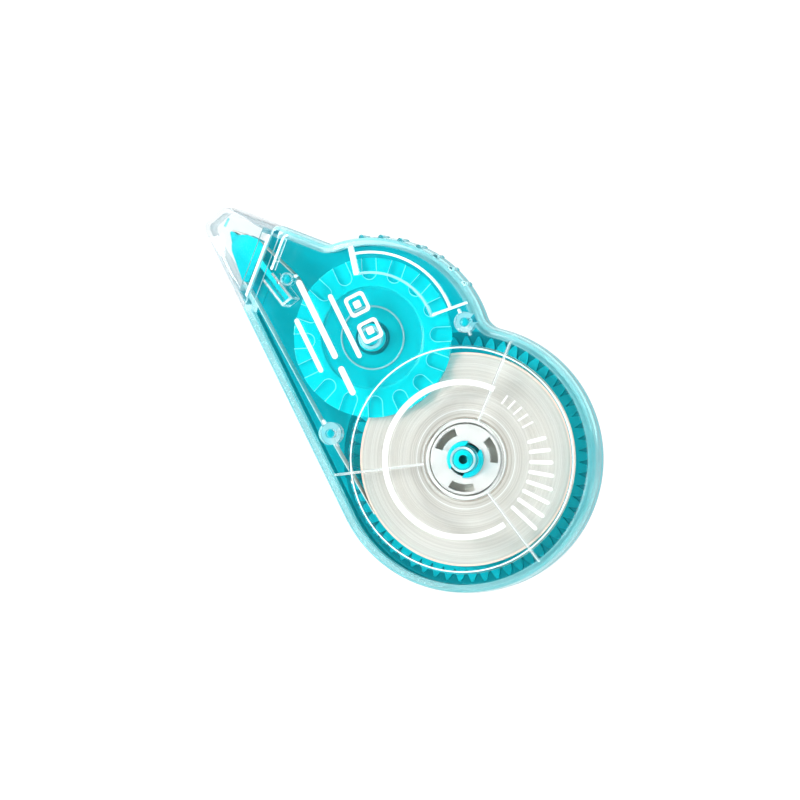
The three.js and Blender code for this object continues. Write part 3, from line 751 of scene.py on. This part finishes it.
def take_up_reel():
    low = GEAR_TOP + 0.15
    bore = TAKE_UP_SPINDLE_RADIUS + RUNNING_GAP
    sleeve, sleeve_top = 2.9, 10.9
    hub_inner = REEL_HUB_RADIUS - 0.85
    dish = FLANGE_BOTTOM + 0.8
    profile = [
        (REEL_HUB_RADIUS, FLANGE_BOTTOM), (FLANGE_RADIUS, FLANGE_BOTTOM), (FLANGE_RADIUS, FLANGE_TOP),
        (10.4, FLANGE_TOP), (10.2, dish), (sleeve, dish), (sleeve, sleeve_top), (bore, sleeve_top),
        (bore, low), (sleeve, low), (sleeve, FLANGE_BOTTOM), (hub_inner, FLANGE_BOTTOM),
        (hub_inner, low), (REEL_HUB_RADIUS, low),
    ]
    corners = [0, 0.2, 0.25, 0.25, 0.3, 0.2, 0.2, 0.1, 0.05, 0.1, 0.2, 0.2, 0.05, 0.05]
    reel = turned(profile, corners, SPINDLE, 160)
    notches = []
    for i in range(NOTCHES):
        turn = 2 * math.pi * i / NOTCHES
        ends = polar(SPINDLE, NOTCH_INNER_RADIUS, turn), polar(SPINDLE, 18, turn)
        notches.append(prism(capsule(*ends, NOTCH_WIDTH, 12), NOTCH_FLOOR, 12))
        wide = capsule(*ends, NOTCH_WIDTH + 2 * NOTCH_LIP, 12)
        notches.append(prism(wide, FLANGE_TOP - NOTCH_LEDGE, 12))
    ring = tube(SPINDLE, 6.15, 6.5, NOTCH_FLOOR, FLANGE_BOTTOM + 1.15, 0.1, 96)
    return join(cut(reel, *notches), ring)


def take_up_winding():
    inner, bottom = REEL_HUB_RADIUS + 0.05, TAPE_BOTTOM + 0.1
    return tube(SPINDLE, inner, WINDING_RADIUS, bottom, TAPE_TOP, 0.05, 96)


# ---- Applicator head ----
def applicator_head():
    head = prism(rounded(HEAD_PROFILE, HEAD_CORNERS), TAPE_BOTTOM - 0.2, TAPE_TOP + 0.2)
    tail = bar(TAIL_START, TAIL_END, TAIL_WIDTH, TAPE_BOTTOM + 0.3, TAPE_TOP + 0.2, 0.12)
    cheek = rounded(CHEEK_PROFILE, 0.5)
    low = prism(cheek, TAPE_BOTTOM - 0.1 - CHEEK_THICKNESS, TAPE_BOTTOM - 0.1, 0.12)
    high = prism(cheek, TAPE_TOP + 0.1, TAPE_TOP + 0.1 + CHEEK_THICKNESS, 0.12)
    return join(head, tail, low, high)


# ---- The tape's two free runs ----
def straight_between(start, end):
    """The tangent from one guide to the next, on the side that each guide gives."""
    (a, radius_a, side_a), (b, radius_b, side_b) = start, end
    between = b - a
    offset = side_a * radius_a - side_b * radius_b
    heading = math.atan2(between.y, between.x) - math.asin(offset / between.length)
    left = Vector((-math.sin(heading), math.cos(heading)))
    return [a + left * side_a * radius_a, b + left * side_b * radius_b]


def guide(centre, radius, side=1):
    """A round part that the tape passes, with the tape's middle just clear of it."""
    return (centre, radius + CONTACT_GAP + TAPE_THICKNESS / 2, side)


def tape_strip(guides):
    """The tape's straights between guides, with each bend wrapped round its guide."""
    straights = [straight_between(a, b) for a, b in zip(guides, guides[1:])]
    points = [straights[0][0]]
    for (centre, radius, side), before, after in zip(guides[1:-1], straights, straights[1:]):
        points += short_arc(centre, radius, before[1], after[0], 6)
    points.append(straights[-1][1])
    half = TAPE_THICKNESS / 2
    left, right = [], []
    for i, point in enumerate(points):
        along = (points[min(i + 1, len(points) - 1)] - points[max(i - 1, 0)]).normalized()
        across = left_of(along) * half
        left.append(point + across)
        right.append(point - across)
    return prism(left + right[::-1], TAPE_BOTTOM + 0.1, TAPE_TOP - 0.1)


def tape_run_fresh():
    return tape_strip([
        guide(SPINDLE, ROLL_RADIUS), guide(FEED_PIN[0], FEED_PIN[1]),
        guide(HEAD_PROFILE[2], 0), guide(HEAD_PROFILE[1], 0), guide(HEAD_PROFILE[0], 0),
    ])


def tape_run_used():
    return tape_strip([
        guide(HEAD_PROFILE[9], 0), guide(HEAD_PROFILE[7], 0), guide(HEAD_PROFILE[6], 0),
        guide(RETURN_PIN[0], RETURN_PIN[1]), guide(TAKE_UP, WINDING_RADIUS, -1),
    ])


# ---- Print: a plain arc, a tick scale and plain bars in place of words ----
PRINT_SINK = 0.005
PRINT_HEIGHT = 0.03


def printed(shape, surface):
    return prism(shape, surface - PRINT_SINK, surface + PRINT_HEIGHT)


def print_arc():
    start, end, radius, width = 107.3 * DEG, 346.3 * DEG, 15.5, 1.2
    return printed(ring_sector(SPINDLE, radius - width / 2, radius + width / 2, start, end, 120), WINDOW_FLAT)


def print_scale():
    """Five short ticks, then eight that grow longer."""
    ticks = [((96.5 - 6.6 * i) * DEG, 13.9, 15.6 + 0.12 * i, 0.42) for i in range(5)]
    ticks += [((57 - 8.2 * i) * DEG, 14, 17.2 + 0.42 * i, 0.85) for i in range(8)]
    return merged([
        printed(capsule(polar(SPINDLE, inner, angle), polar(SPINDLE, outer, angle), width), WINDOW_FLAT)
        for angle, inner, outer, width in ticks
    ])


def print_lines():
    """Four bars, and two marks of a square in a square, in line with the case's lower side."""
    along = Vector((math.cos(NOSE_ANGLE), -math.sin(NOSE_ANGLE)))
    across = left_of(along)

    def square(middle, half, corner):
        corners = ((-half, -half), (half, -half), (half, half), (-half, half))
        return rounded([middle + along * a + across * b for a, b in corners], corner, 6)

    # Middle, length, stroke.
    rows = (
        (Vector((-40.6, 1)), 17.6, 1.25), (Vector((-27.8, -4)), 6.4, 1.25),
        (Vector((-35.5, 3.8)), 14.2, 1), (Vector((-38.3, -4)), 12, 1),
    )
    made = []
    for middle, length, stroke in rows:
        reach = along * (length - stroke) / 2
        made.append(printed(capsule(middle - reach, middle + reach, stroke), COVER_TOP))
    for middle in vectors((-36.6, 8.7), (-31.1, 6.6)):
        hole = prism(square(middle, 1.5, 0.525), COVER_TOP - 1, COVER_TOP + 1)
        made.append(cut(printed(square(middle, 2.2, 0.88), COVER_TOP), hole))
        made.append(printed(square(middle, 0.75, 0.3), COVER_TOP))
    return merged(made)


# ---- Materials ----
def set_stops(ramp, stops):
    """Puts stops of (position, colour) on a colour ramp."""
    elements = ramp.color_ramp.elements
    while len(elements) < len(stops):
        elements.new(0.5)
    for element, (position, colour) in zip(elements, stops):
        element.position = position
        element.color = (*colour, 1)


class Material:
    """A node material with a few short ways to add nodes."""

    def __init__(self, name):
        self.data = bpy.data.materials.new(name)
        self.data.use_nodes = True
        self.tree = self.data.node_tree
        self.tree.nodes.clear()
        self.output = self.node("ShaderNodeOutputMaterial")

    def node(self, kind, inputs=None, **settings):
        made = self.tree.nodes.new(kind)
        for name, value in settings.items():
            setattr(made, name, value)
        for name, value in (inputs or {}).items():
            if isinstance(value, bpy.types.NodeSocket):
                self.tree.links.new(value, made.inputs[name])
            else:
                made.inputs[name].default_value = value
        return made

    def surface(self, socket):
        self.tree.links.new(socket, self.output.inputs["Surface"])
        return self.data

    def principled(self, inputs):
        return self.node("ShaderNodeBsdfPrincipled", inputs).outputs["BSDF"]

    def coordinates(self):
        return self.node("ShaderNodeTexCoord").outputs["Object"]

    def noise(self, scale, detail=3.0, where=None, roughness=0.5):
        vector = where or self.coordinates()
        inputs = {"Vector": vector, "Scale": scale, "Detail": detail, "Roughness": roughness}
        return self.node("ShaderNodeTexNoise", inputs).outputs["Fac"]

    def bump(self, height, strength, distance):
        inputs = {"Height": height, "Strength": strength, "Distance": distance}
        return self.node("ShaderNodeBump", inputs).outputs["Normal"]

    def ramp(self, value, *stops):
        made = self.node("ShaderNodeValToRGB", {"Fac": value})
        set_stops(made, stops)
        return made.outputs["Color"]

    def span(self, value, low, high):
        inputs = {"Value": value, "To Min": low, "To Max": high}
        return self.node("ShaderNodeMapRange", inputs).outputs["Result"]

    def radius(self):
        """Distance from the piece's own vertical axis, in metres."""
        flat = self.node(
            "ShaderNodeVectorMath", {0: self.coordinates(), 1: (1, 1, 0)}, operation="MULTIPLY"
        )
        length = self.node("ShaderNodeVectorMath", {0: flat.outputs["Vector"]}, operation="LENGTH")
        return length.outputs["Value"]

    def mix_colours(self, factor, first, second, blend="MIX"):
        mix = self.node("ShaderNodeMix", data_type="RGBA", blend_type=blend)
        for index, value in ((0, factor), (6, first), (7, second)):
            if isinstance(value, bpy.types.NodeSocket):
                self.tree.links.new(value, mix.inputs[index])
            else:
                mix.inputs[index].default_value = (*value, 1) if index else value
        return mix.outputs[2]

    def ring_mask(self, radius, inner, outer):
        """1 inside a ring round the piece's own axis, 0 elsewhere. inner and outer in millimetres."""
        soft = 0.05 * MM
        steps = [
            self.node("ShaderNodeMapRange", {
                "Value": radius, "From Min": edge * MM - soft, "From Max": edge * MM + soft,
                "To Min": before, "To Max": 1 - before,
            }).outputs["Result"]
            for edge, before in ((inner, 0), (outer, 1))
        ]
        return self.node("ShaderNodeMath", dict(enumerate(steps)), operation="MULTIPLY").outputs["Value"]

    def with_rings(self, colour, radius, rings):
        """The colour, changed inside each ring of (inner, outer, colour)."""
        for inner, outer, other in rings:
            colour = self.mix_colours(self.ring_mask(radius, inner, outer), colour, other)
        return colour

    def let_light_through(self, shader, tint):
        """Lamp light passes the plastic, tinted, while the camera sees the shader."""
        clear = self.node("ShaderNodeBsdfTransparent", {"Color": (*tint, 1)})
        path = self.node("ShaderNodeLightPath")
        mix = self.node("ShaderNodeMixShader", {"Fac": path.outputs["Is Shadow Ray"]})
        self.tree.links.new(shader, mix.inputs[1])
        self.tree.links.new(clear.outputs["BSDF"], mix.inputs[2])
        return mix.outputs["Shader"]


def clear_plastic(name, tint, shade, roughness):
    """Thin clear plastic: rays pass nearly straight, and the coat reflects. shade tints the light."""
    made = Material(name)
    waves = made.noise(220, 2)
    specks = made.noise(9000, 2)
    shader = made.principled({
        "Base Color": made.ramp(made.noise(90, 2), (0.3, tint), (0.7, tuple(min(c * 1.01, 1) for c in tint))),
        "Roughness": made.span(specks, roughness, roughness + 0.02),
        "IOR": 1.1,
        "Transmission Weight": 1.0,
        "Coat Weight": 0.6,
        "Coat Roughness": 0.03,
        "Normal": made.bump(waves, 0.05, 0.0002),
    })
    return made.surface(made.let_light_through(shader, shade))


def tinted_plastic(name, low, high, transmission, roughness, shade=None, ior=1.49, rings=(), glow=0.0):
    """Coloured plastic, clouded from low to high. Where shade is given, tinted light passes through. glow is
    painted light: the colour shines by itself at that strength.
    """
    made = Material(name)
    cloud = made.noise(160, 4)
    grain = made.noise(5200, 3)
    colour = made.ramp(cloud, (0.3, low), (0.7, high))
    if rings:
        colour = made.with_rings(colour, made.radius(), rings)
    shader = made.principled({
        "Base Color": colour,
        "Roughness": made.span(grain, roughness * 0.75, roughness * 1.3),
        "IOR": ior,
        "Transmission Weight": transmission,
        "Normal": made.bump(grain, 0.12, 0.00003),
        "Emission Color": colour,
        "Emission Strength": glow,
    })
    return made.surface(made.let_light_through(shader, shade) if shade else shader)


def wound_tape():
    """Film edges seen from above: fine rings, with the carrier film's peach at the rim."""
    made = Material("wound_tape")
    radius = made.radius()
    along = made.node("ShaderNodeCombineXYZ", {"X": radius}).outputs["Vector"]
    fine = made.noise(2600, 4, along, 0.8)
    broad = made.noise(450, 3, along, 0.6)
    colour = made.ramp(fine, (0.35, (0.48, 0.45, 0.41)), (0.65, (0.75, 0.72, 0.675)))
    bands = made.ramp(broad, (0.35, (0.88, 0.86, 0.84)), (0.65, (1, 1, 1)))
    colour = made.mix_colours(1.0, colour, bands, "MULTIPLY")
    colour = made.with_rings(colour, radius, (
        (CORE_RADIUS, 8.65, (0.36, 0.32, 0.27)), (9.1, 9.3, (0.42, 0.38, 0.33)),
        (9.9, 10.05, (0.88, 0.87, 0.85)), (10.9, 11, (0.55, 0.5, 0.45)),
        (12.35, 12.45, (0.58, 0.54, 0.5)), (ROLL_RADIUS - 0.4, 22, (0.90, 0.64, 0.54)),
    ))
    shader = made.principled({
        "Base Color": colour,
        "Roughness": made.span(fine, 0.3, 0.48),
        "Anisotropic": 0.8,
        "Normal": made.bump(fine, 0.5, 0.00005),
        "Tangent": made.node("ShaderNodeTangent", direction_type="RADIAL", axis="Z").outputs["Tangent"],
        "Coat Weight": 0.1,
        "Coat Roughness": 0.2,
    })
    return made.surface(shader)


def grained(name, low, high, gloss, scale, detail, bump, more, stretch=1):
    """A material whose colour, roughness and bump all follow one grain, drawn out along the height."""
    made = Material(name)
    where = made.node("ShaderNodeMapping", {"Vector": made.coordinates(), "Scale": (1, 1, stretch)})
    grain = made.noise(scale, detail, where.outputs["Vector"])
    shader = made.principled({
        "Base Color": made.ramp(grain, (0.3, low), (0.7, high)),
        "Roughness": made.span(grain, *gloss),
        "Normal": made.bump(grain, *bump),
        **more,
    })
    return made.surface(shader)


def film(name, low, high, transmission):
    more = {"Transmission Weight": transmission}
    return grained(name, low, high, (0.3, 0.5), 300, 3, (0.1, 0.00002), more, 40)


def rubber(name, low, high):
    return grained(name, low, high, (0.6, 0.85), 3500, 5, (0.4, 0.00006), {"Sheen Weight": 0.1})


def ink(name, low, high):
    """Screen print: slightly uneven in thickness, with a faint painted glow."""
    more = {"Emission Color": (1, 1, 1, 1), "Emission Strength": 0.05}
    return grained(name, low, high, (0.35, 0.55), 4200, 4, (0.15, 0.00001), more)


# Painted highlight: the spindle and the gear's hub are painted this brighter cyan where light falls on their
# tops; the plastic is the same teal.
PAINTED_HIGHLIGHT_CYAN = (0, 0.74, 0.83)
MATERIALS = {
    # The back shell: painted highlight on the spindle and washer, and painted shade, a darker teal, on the
    # floor under the gear's teeth.
    "teal_clear": tinted_plastic(
        "teal_clear", (0, 0.49, 0.585), (0, 0.55, 0.645), 0.5, 0.08, (0.1, 0.8, 0.86),
        rings=((0, 4.6, PAINTED_HIGHLIGHT_CYAN), (21.3, 25.75, (0, 0.28, 0.35))),
    ),
    "clear_cover": clear_plastic("clear_cover", (0.975, 0.995, 0.998), (0.96, 0.99, 0.995), 0.01),
    "clear_cap": clear_plastic("clear_cap", (0.94, 0.968, 0.972), (0.96, 0.985, 0.99), 0.02),
    "cyan_head": tinted_plastic("cyan_head", (0, 0.67, 0.74), (0, 0.73, 0.80), 0.1, 0.25),
    # The gear: its hub and fingers carry the painted highlight cyan.
    "teal_gear": tinted_plastic(
        "teal_gear", (0, 0.60, 0.70), (0, 0.66, 0.76), 0.1, 0.2, rings=((0, 4.6, PAINTED_HIGHLIGHT_CYAN),)
    ),
    # The take-up reel: painted shade, a dark ring round the sleeve's foot and a darker dish; a painted
    # highlight, paler, on the raised ring at 6.15 to 6.5 mm.
    "cyan_reel": tinted_plastic(
        "cyan_reel", (0, 0.64, 0.70), (0, 0.70, 0.76), 0.2, 0.16, (0.1, 0.85, 0.9),
        rings=((2.8, 3.5, (0, 0.22, 0.26)), (3.5, 10.1, (0, 0.55, 0.62)), (6.15, 6.5, (0.3, 0.62, 0.66))),
    ),
    "white_clutch": tinted_plastic("white_clutch", (0.70, 0.675, 0.655), (0.76, 0.735, 0.715), 0.0, 0.2),
    # The core: its web, inside the tube, is painted a warmer, yellower tone, a painted shade for the web seen
    # down the clutch's slots.
    "white_core": tinted_plastic(
        "white_core", (0.80, 0.80, 0.78), (0.87, 0.87, 0.85), 0.0, 0.3, rings=((0, 7.42, (0.88, 0.85, 0.76)),)
    ),
    "friction_rubber": rubber("friction_rubber", (0.035, 0.035, 0.036), (0.06, 0.06, 0.058)),
    "wound_tape": wound_tape(),
    "fresh_tape": film("fresh_tape", (0.90, 0.89, 0.87), (0.97, 0.965, 0.95), 0.0),
    "used_tape": film("used_tape", (0.80, 0.70, 0.62), (0.88, 0.80, 0.73), 0.35),
}
INK = ink("white_ink", (0.93, 0.94, 0.94), (0.98, 0.98, 0.98))
# Painted light and shade for parts of a piece: painted highlights on moulded edges, painted shade and
# refraction on walls seen end on, and painted shade in deep corners.
# Painted highlight: white, and glowing, on edges and rib undersides that catch the light.
PAINTED_HIGHLIGHT = tinted_plastic("painted_highlight_edge", (0.90, 0.95, 0.95), (0.96, 0.98, 0.98), 0.15, 0.3, glow=0.4)
# Painted soft highlight: a fainter, glowing whitish aqua on rib sides, pin bosses and the panel's inner arc.
PAINTED_SOFT_HIGHLIGHT = tinted_plastic(
    "painted_soft_highlight", (0.74, 0.94, 0.95), (0.80, 0.96, 0.97), 0.7, 0.2, (0.8, 0.95, 0.96), 1.15, glow=0.12
)
# Painted refraction: clear walls seen end on, painted aqua for the teal seen through them.
COVER_SIDE_PAINTED_REFRACTION = tinted_plastic(
    "cover_wall_painted_refraction", (0.25, 0.72, 0.755), (0.41, 0.825, 0.86), 0.62, 0.12, (0.5, 0.88, 0.9), 1.06
)
# Painted shade: a darker teal on the back shell's outer walls and the gear's tooth flanks.
TEAL_SIDE_PAINTED_SHADE = tinted_plastic(
    "teal_side_painted_shade", (0.005, 0.38, 0.44), (0.01, 0.43, 0.49), 0.1, 0.2, (0.1, 0.7, 0.75), 1.08
)
# Painted shade: the cap's side walls, darker grey-blue, drawn as its outline.
CAP_SIDE_PAINTED_SHADE = tinted_plastic(
    "cap_wall_painted_shade", (0.52, 0.64, 0.68), (0.62, 0.73, 0.77), 0.8, 0.12, (0.9, 0.94, 0.95), 1.12
)
# Painted highlight: a pale, faintly glowing grey on the flat undersides of the radial ribs.
RIB_PAINTED_HIGHLIGHT = tinted_plastic("rib_painted_highlight", (0.84, 0.86, 0.855), (0.90, 0.92, 0.915), 0.5, 0.25, glow=0.1)
RIB_SHADE = tinted_plastic("rib_shade", (0.22, 0.24, 0.24), (0.28, 0.30, 0.30), 0.2, 0.3)
# Painted highlight: a paler cyan on the ledges round the reel's notches.
REEL_LEDGE_PAINTED_HIGHLIGHT = tinted_plastic("reel_ledge_painted_highlight", (0.16, 0.80, 0.86), (0.20, 0.84, 0.90), 0.0, 0.3)
# Painted shade: near black in the spindle's bore and on the floor of the gear's slit.
DEEP_PAINTED_SHADE = tinted_plastic("deep_painted_shade", (0.0, 0.035, 0.045), (0.0, 0.05, 0.06), 0.0, 0.4)
# Painted refraction: the teal that shows at the floor of the cap's slot.
SLOT_PAINTED_REFRACTION = tinted_plastic("slot_painted_refraction", (0.10, 0.52, 0.58), (0.12, 0.56, 0.62), 0.0, 0.3)


# ---- Painted light and shade by place: each takes a face's centre and normal, in millimetres on the piece's own axis ----
INNER_FACE = outline(WALL + 0.85)
# A face's slope by the upright part of its normal: level, steep, and steep with the edge's first round.
LEVEL = 0.9
STEEP = 0.6
ROUNDED = 0.75


def in_outline(flat, corners):
    result = False
    for a, b in zip(corners, corners[1:] + corners[:1]):
        if (a.y > flat.y) != (b.y > flat.y) and flat.x < a.x + (flat.y - a.y) * (b.x - a.x) / (b.y - a.y):
            result = not result
    return result


def along_nose(spot):
    return spot.x * NOSE_ALONG.x + spot.y * NOSE_ALONG.y


# Painted highlights on the window's rim, rib undersides and bosses, painted shade on the ribs' right-hand
# bevels, and painted refraction on the walls.
def cover_painted_shading(spot, normal):
    flat = spot.xy
    reach = flat.length
    if reach > WINDOW_RADIUS - 0.7 and spot.z > COVER_TOP + 0.1:
        return PAINTED_HIGHLIGHT if normal.z > LEVEL and spot.z > WINDOW_TOP - 0.03 else None
    if not in_outline(flat, INNER_FACE):
        return COVER_SIDE_PAINTED_REFRACTION if abs(normal.z) < STEEP else None
    if along_nose(spot) < CAVITY_START + 0.1:
        return PAINTED_SOFT_HIGHLIGHT if abs(normal.z) < 0.5 else None
    if spot.z > COVER_UNDERSIDE - 0.05 or normal.z > -0.3:
        return None
    # What is left is the undersides of the ribs and bosses.
    if reach < COLLAR_RADIUS + 0.1:
        return PAINTED_HIGHLIGHT if reach < SPINDLE_BOSS + 0.1 else None
    if reach < RADIAL_RIB_END + 0.2:
        if normal.z < -LEVEL:
            return RIB_PAINTED_HIGHLIGHT
        return PAINTED_HIGHLIGHT if normal.x < 0 else RIB_SHADE
    on_boss = any((flat - centre).length < boss + 0.1 for centre, _, boss, _ in PINS)
    if on_boss or (flat - TAKE_UP).length < PANEL_RADII[0] + 0.7:
        return PAINTED_SOFT_HIGHLIGHT
    return PAINTED_HIGHLIGHT if normal.z < -LEVEL else None


# Painted shade in the spindle's bore and on the outer walls.
def back_painted_shading(spot, normal):
    if spot.xy.length < SPINDLE_BORE + 0.05 and spot.z > 3:
        return DEEP_PAINTED_SHADE
    if abs(normal.z) < ROUNDED and not in_outline(spot.xy, INNER_FACE):
        return TEAL_SIDE_PAINTED_SHADE
    return None


# Painted refraction in the slot, a painted highlight on the rear lip, and painted shade on the side walls.
def cap_painted_shading(spot, normal):
    on_floor = abs(spot.z - CAP_SLOT_FLOOR) < 0.02 and normal.z > LEVEL
    if on_floor and (spot.xy - (CAP_SLOT[0] + CAP_SLOT[1]) / 2).length < 0.9:
        return SLOT_PAINTED_REFRACTION
    if along_nose(spot) > CAP_REACH - CAP_LIP - 0.01 and spot.z > COVER_TOP + 0.01:
        return PAINTED_HIGHLIGHT
    if abs(normal.z) < ROUNDED and not in_outline(spot.xy, INNER_FACE):
        return CAP_SIDE_PAINTED_SHADE
    return None


# Painted shade on the slit's floor and on the teeth's flanks.
def gear_painted_shading(spot, normal):
    reach = spot.xy.length
    if SPINDLE_RADIUS - 0.05 < reach < HOOK_RADIUS + 0.1 and abs(spot.z - SLIT_BOTTOM) < 0.05:
        return DEEP_PAINTED_SHADE
    if abs(normal.z) < 0.3 and ROLL_RADIUS < reach < SUPPLY_TIP - 0.2:
        return TEAL_SIDE_PAINTED_SHADE
    return None


# Painted highlight on the ledges round the notches.
def reel_painted_shading(spot, normal):
    on_ledge = abs(spot.z - (FLANGE_TOP - NOTCH_LEDGE)) < 0.02 and normal.z > 0.8
    return REEL_LEDGE_PAINTED_HIGHLIGHT if on_ledge and spot.xy.length > NOTCH_INNER_RADIUS - 2 else None


def paint(mesh, painted_shading):
    """Gives each face the painted light or shade for its place, or else the piece's own material, the first.
    """
    slots = {None: 0}
    for face in mesh.polygons:
        chosen = painted_shading(Vector(face.center) / MM, Vector(face.normal))
        if chosen not in slots:
            slots[chosen] = len(mesh.materials)
            mesh.materials.append(chosen)
        face.material_index = slots[chosen]


# ---- Pieces ----
SMOOTH_ANGLE = 32 * DEG
TINY = 1e-7


def place(obj, name, body, material, axis=SPINDLE, painted_shading=None, replaces=None, slot=None):
    """Scales a finished solid to metres, with its origin on the given axis, and ties it to its body."""
    mesh = obj.data
    mesh.transform(Matrix.Scale(MM, 4))
    bm = bmesh.new()
    bm.from_mesh(mesh)
    bmesh.ops.remove_doubles(bm, verts=bm.verts, dist=TINY)
    bmesh.ops.dissolve_degenerate(bm, dist=TINY, edges=bm.edges)
    bm.to_mesh(mesh)
    bm.free()
    obj.name = name
    mesh.name = name
    mesh.materials.clear()
    mesh.materials.append(material)
    if painted_shading:
        paint(mesh, painted_shading)
    mesh.shade_smooth()
    mesh.set_sharp_from_angle(angle=SMOOTH_ANGLE)
    weighted = obj.modifiers.new("normals", "WEIGHTED_NORMAL")
    weighted.keep_sharp = True
    obj.location = (SUPPLY_AXIS.x + axis[0] * MM, SUPPLY_AXIS.y + axis[1] * MM, 0)
    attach(obj, body)
    if replaces:
        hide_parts(replaces)


# Each builder has the name of the CAD node that it replaces. Then: piece, body, slot, painted light and shade
# by place.
PIECES = (
    (back_shell, "case_back", "case", "teal_clear", back_painted_shading),
    (front_shell, "case_cover", "case", "clear_cover", cover_painted_shading),
    (tip_cap, "nose_cap", "cap", "clear_cap", cap_painted_shading),
    (applicator_head, "wedge_tip", "case", "cyan_head", None),
    (supply_gear, "main_gear", "supply_drive", "teal_gear", gear_painted_shading),
    (friction_ring, "rubber_ring", "supply_drive", "friction_rubber", None),
    (clutch_disc, "clutch_washer", "supply_drive", "white_clutch", None),
    (tape_core, "roll_core", "tape_reel", "white_core", None),
    (tape_roll, "roll_of_tape", "tape_reel", "wound_tape", None),
    (tape_run_fresh, "feed_film", "case", "fresh_tape", None),
    (tape_run_used, "return_film", "case", "used_tape", None),
    (take_up_pinion, "small_gear", "take_up", "teal_gear", None),
    (take_up_reel, "take_up_spool", "take_up", "cyan_reel", reel_painted_shading),
    (take_up_winding, "take_up_turns", "take_up", "used_tape", None),
)
for builder, name, body, slot, painted_shading in PIECES:
    axis = TAKE_UP if body == "take_up" else SPINDLE
    place(builder(), name, body, MATERIALS[slot], axis, painted_shading, builder.__name__, slot)
for builder in (print_arc, print_scale, print_lines):
    place(builder(), builder.__name__, "case", INK)


# ---- Floor, light and camera ----
def floor():
    """A plain white sheet. It glows, so that the picture's edges stay white as the photograph's are."""
    bm = bmesh.new()
    bmesh.ops.create_grid(bm, x_segments=8, y_segments=8, size=3)
    obj = mesh_object(bm, "floor")
    made = Material("floor")
    shader = made.principled({
        "Base Color": made.ramp(made.noise(3, 2), (0.4, (0.12, 0.12, 0.12)), (0.6, (0.125, 0.125, 0.125))),
        "Roughness": 0.9,
        "Specular IOR Level": 0.1,
        "Emission Color": (1, 1, 1, 1),
        "Emission Strength": 1.0,
    })
    obj.data.materials.append(made.surface(shader))


def world():
    """A soft light tent: bright all round, dark straight overhead."""
    made = bpy.data.worlds.new("tent")
    bpy.context.scene.world = made
    made.use_nodes = True
    tree = made.node_tree
    where = tree.nodes.new("ShaderNodeTexCoord")
    parts = tree.nodes.new("ShaderNodeSeparateXYZ")
    ramp = tree.nodes.new("ShaderNodeValToRGB")
    tree.links.new(where.outputs["Generated"], parts.inputs["Vector"])
    tree.links.new(parts.outputs["Z"], ramp.inputs["Fac"])
    set_stops(ramp, [
        (height, (value, value, value))
        for height, value in ((0, 0.55), (0.3, 0.9), (0.83, 1), (0.94, 0.07), (1, 0.05))
    ])
    background = tree.nodes["Background"]
    tree.links.new(ramp.outputs["Color"], background.inputs["Color"])
    background.inputs["Strength"].default_value = 0.95


def area_light(name, spot, size, power):
    """A rectangular lamp that faces the object's middle."""
    light = bpy.data.lights.new(name, "AREA")
    light.shape = "RECTANGLE"
    light.size, light.size_y = size
    light.energy = power
    obj = add_object(name, light)
    obj.location = MIDDLE + spot
    obj.rotation_euler = (-spot).to_track_quat("-Z", "Y").to_euler()


VIEW_TURN = 42.34 * DEG
VIEW_TILT = 8.53 * DEG
VIEW_DISTANCE = 1.0
VIEW_WIDTH = 0.16
SENSOR_WIDTH = 36
# From the window's middle to the picture's, in metres.
AIM_LEFT = 0.01229
AIM_UP = 0.01191
SCREEN_RIGHT = Vector((math.cos(VIEW_TURN), math.sin(VIEW_TURN), 0))
SCREEN_UP = Vector((-math.sin(VIEW_TURN), math.cos(VIEW_TURN), 0))
UP = Vector((0, 0, 1))
MIDDLE = Vector((0, 0, 0.01))


def camera():
    """Nearly straight above, leaning a little to the picture's right."""
    right = SCREEN_RIGHT * math.cos(VIEW_TILT) - UP * math.sin(VIEW_TILT)
    back = UP * math.cos(VIEW_TILT) + SCREEN_RIGHT * math.sin(VIEW_TILT)
    window_centre = Vector((SUPPLY_AXIS.x, SUPPLY_AXIS.y, WINDOW_TOP * MM))
    aim = window_centre - SCREEN_RIGHT * (AIM_LEFT / math.cos(VIEW_TILT)) + SCREEN_UP * AIM_UP
    data = bpy.data.cameras.new("camera")
    data.sensor_width = SENSOR_WIDTH
    data.lens = SENSOR_WIDTH * VIEW_DISTANCE / VIEW_WIDTH
    data.clip_start, data.clip_end = 0.05, 20
    obj = add_object("camera", data)
    turn = Matrix((right, SCREEN_UP, back)).transposed().to_4x4()
    obj.matrix_world = Matrix.Translation(aim + back * VIEW_DISTANCE) @ turn
    bpy.context.scene.camera = obj


floor()
world()
area_light("key", -SCREEN_RIGHT * 0.55 + SCREEN_UP * 0.1 + UP * 0.5, (0.3, 0.25), 3.5)
area_light("fill", SCREEN_RIGHT * 0.6 - SCREEN_UP * 0.3 + UP * 0.5, (0.4, 0.3), 1.2)
camera()
bpy.context.scene.view_settings.view_transform = "Standard"
bpy.context.scene.cycles.transparent_max_bounces = 32
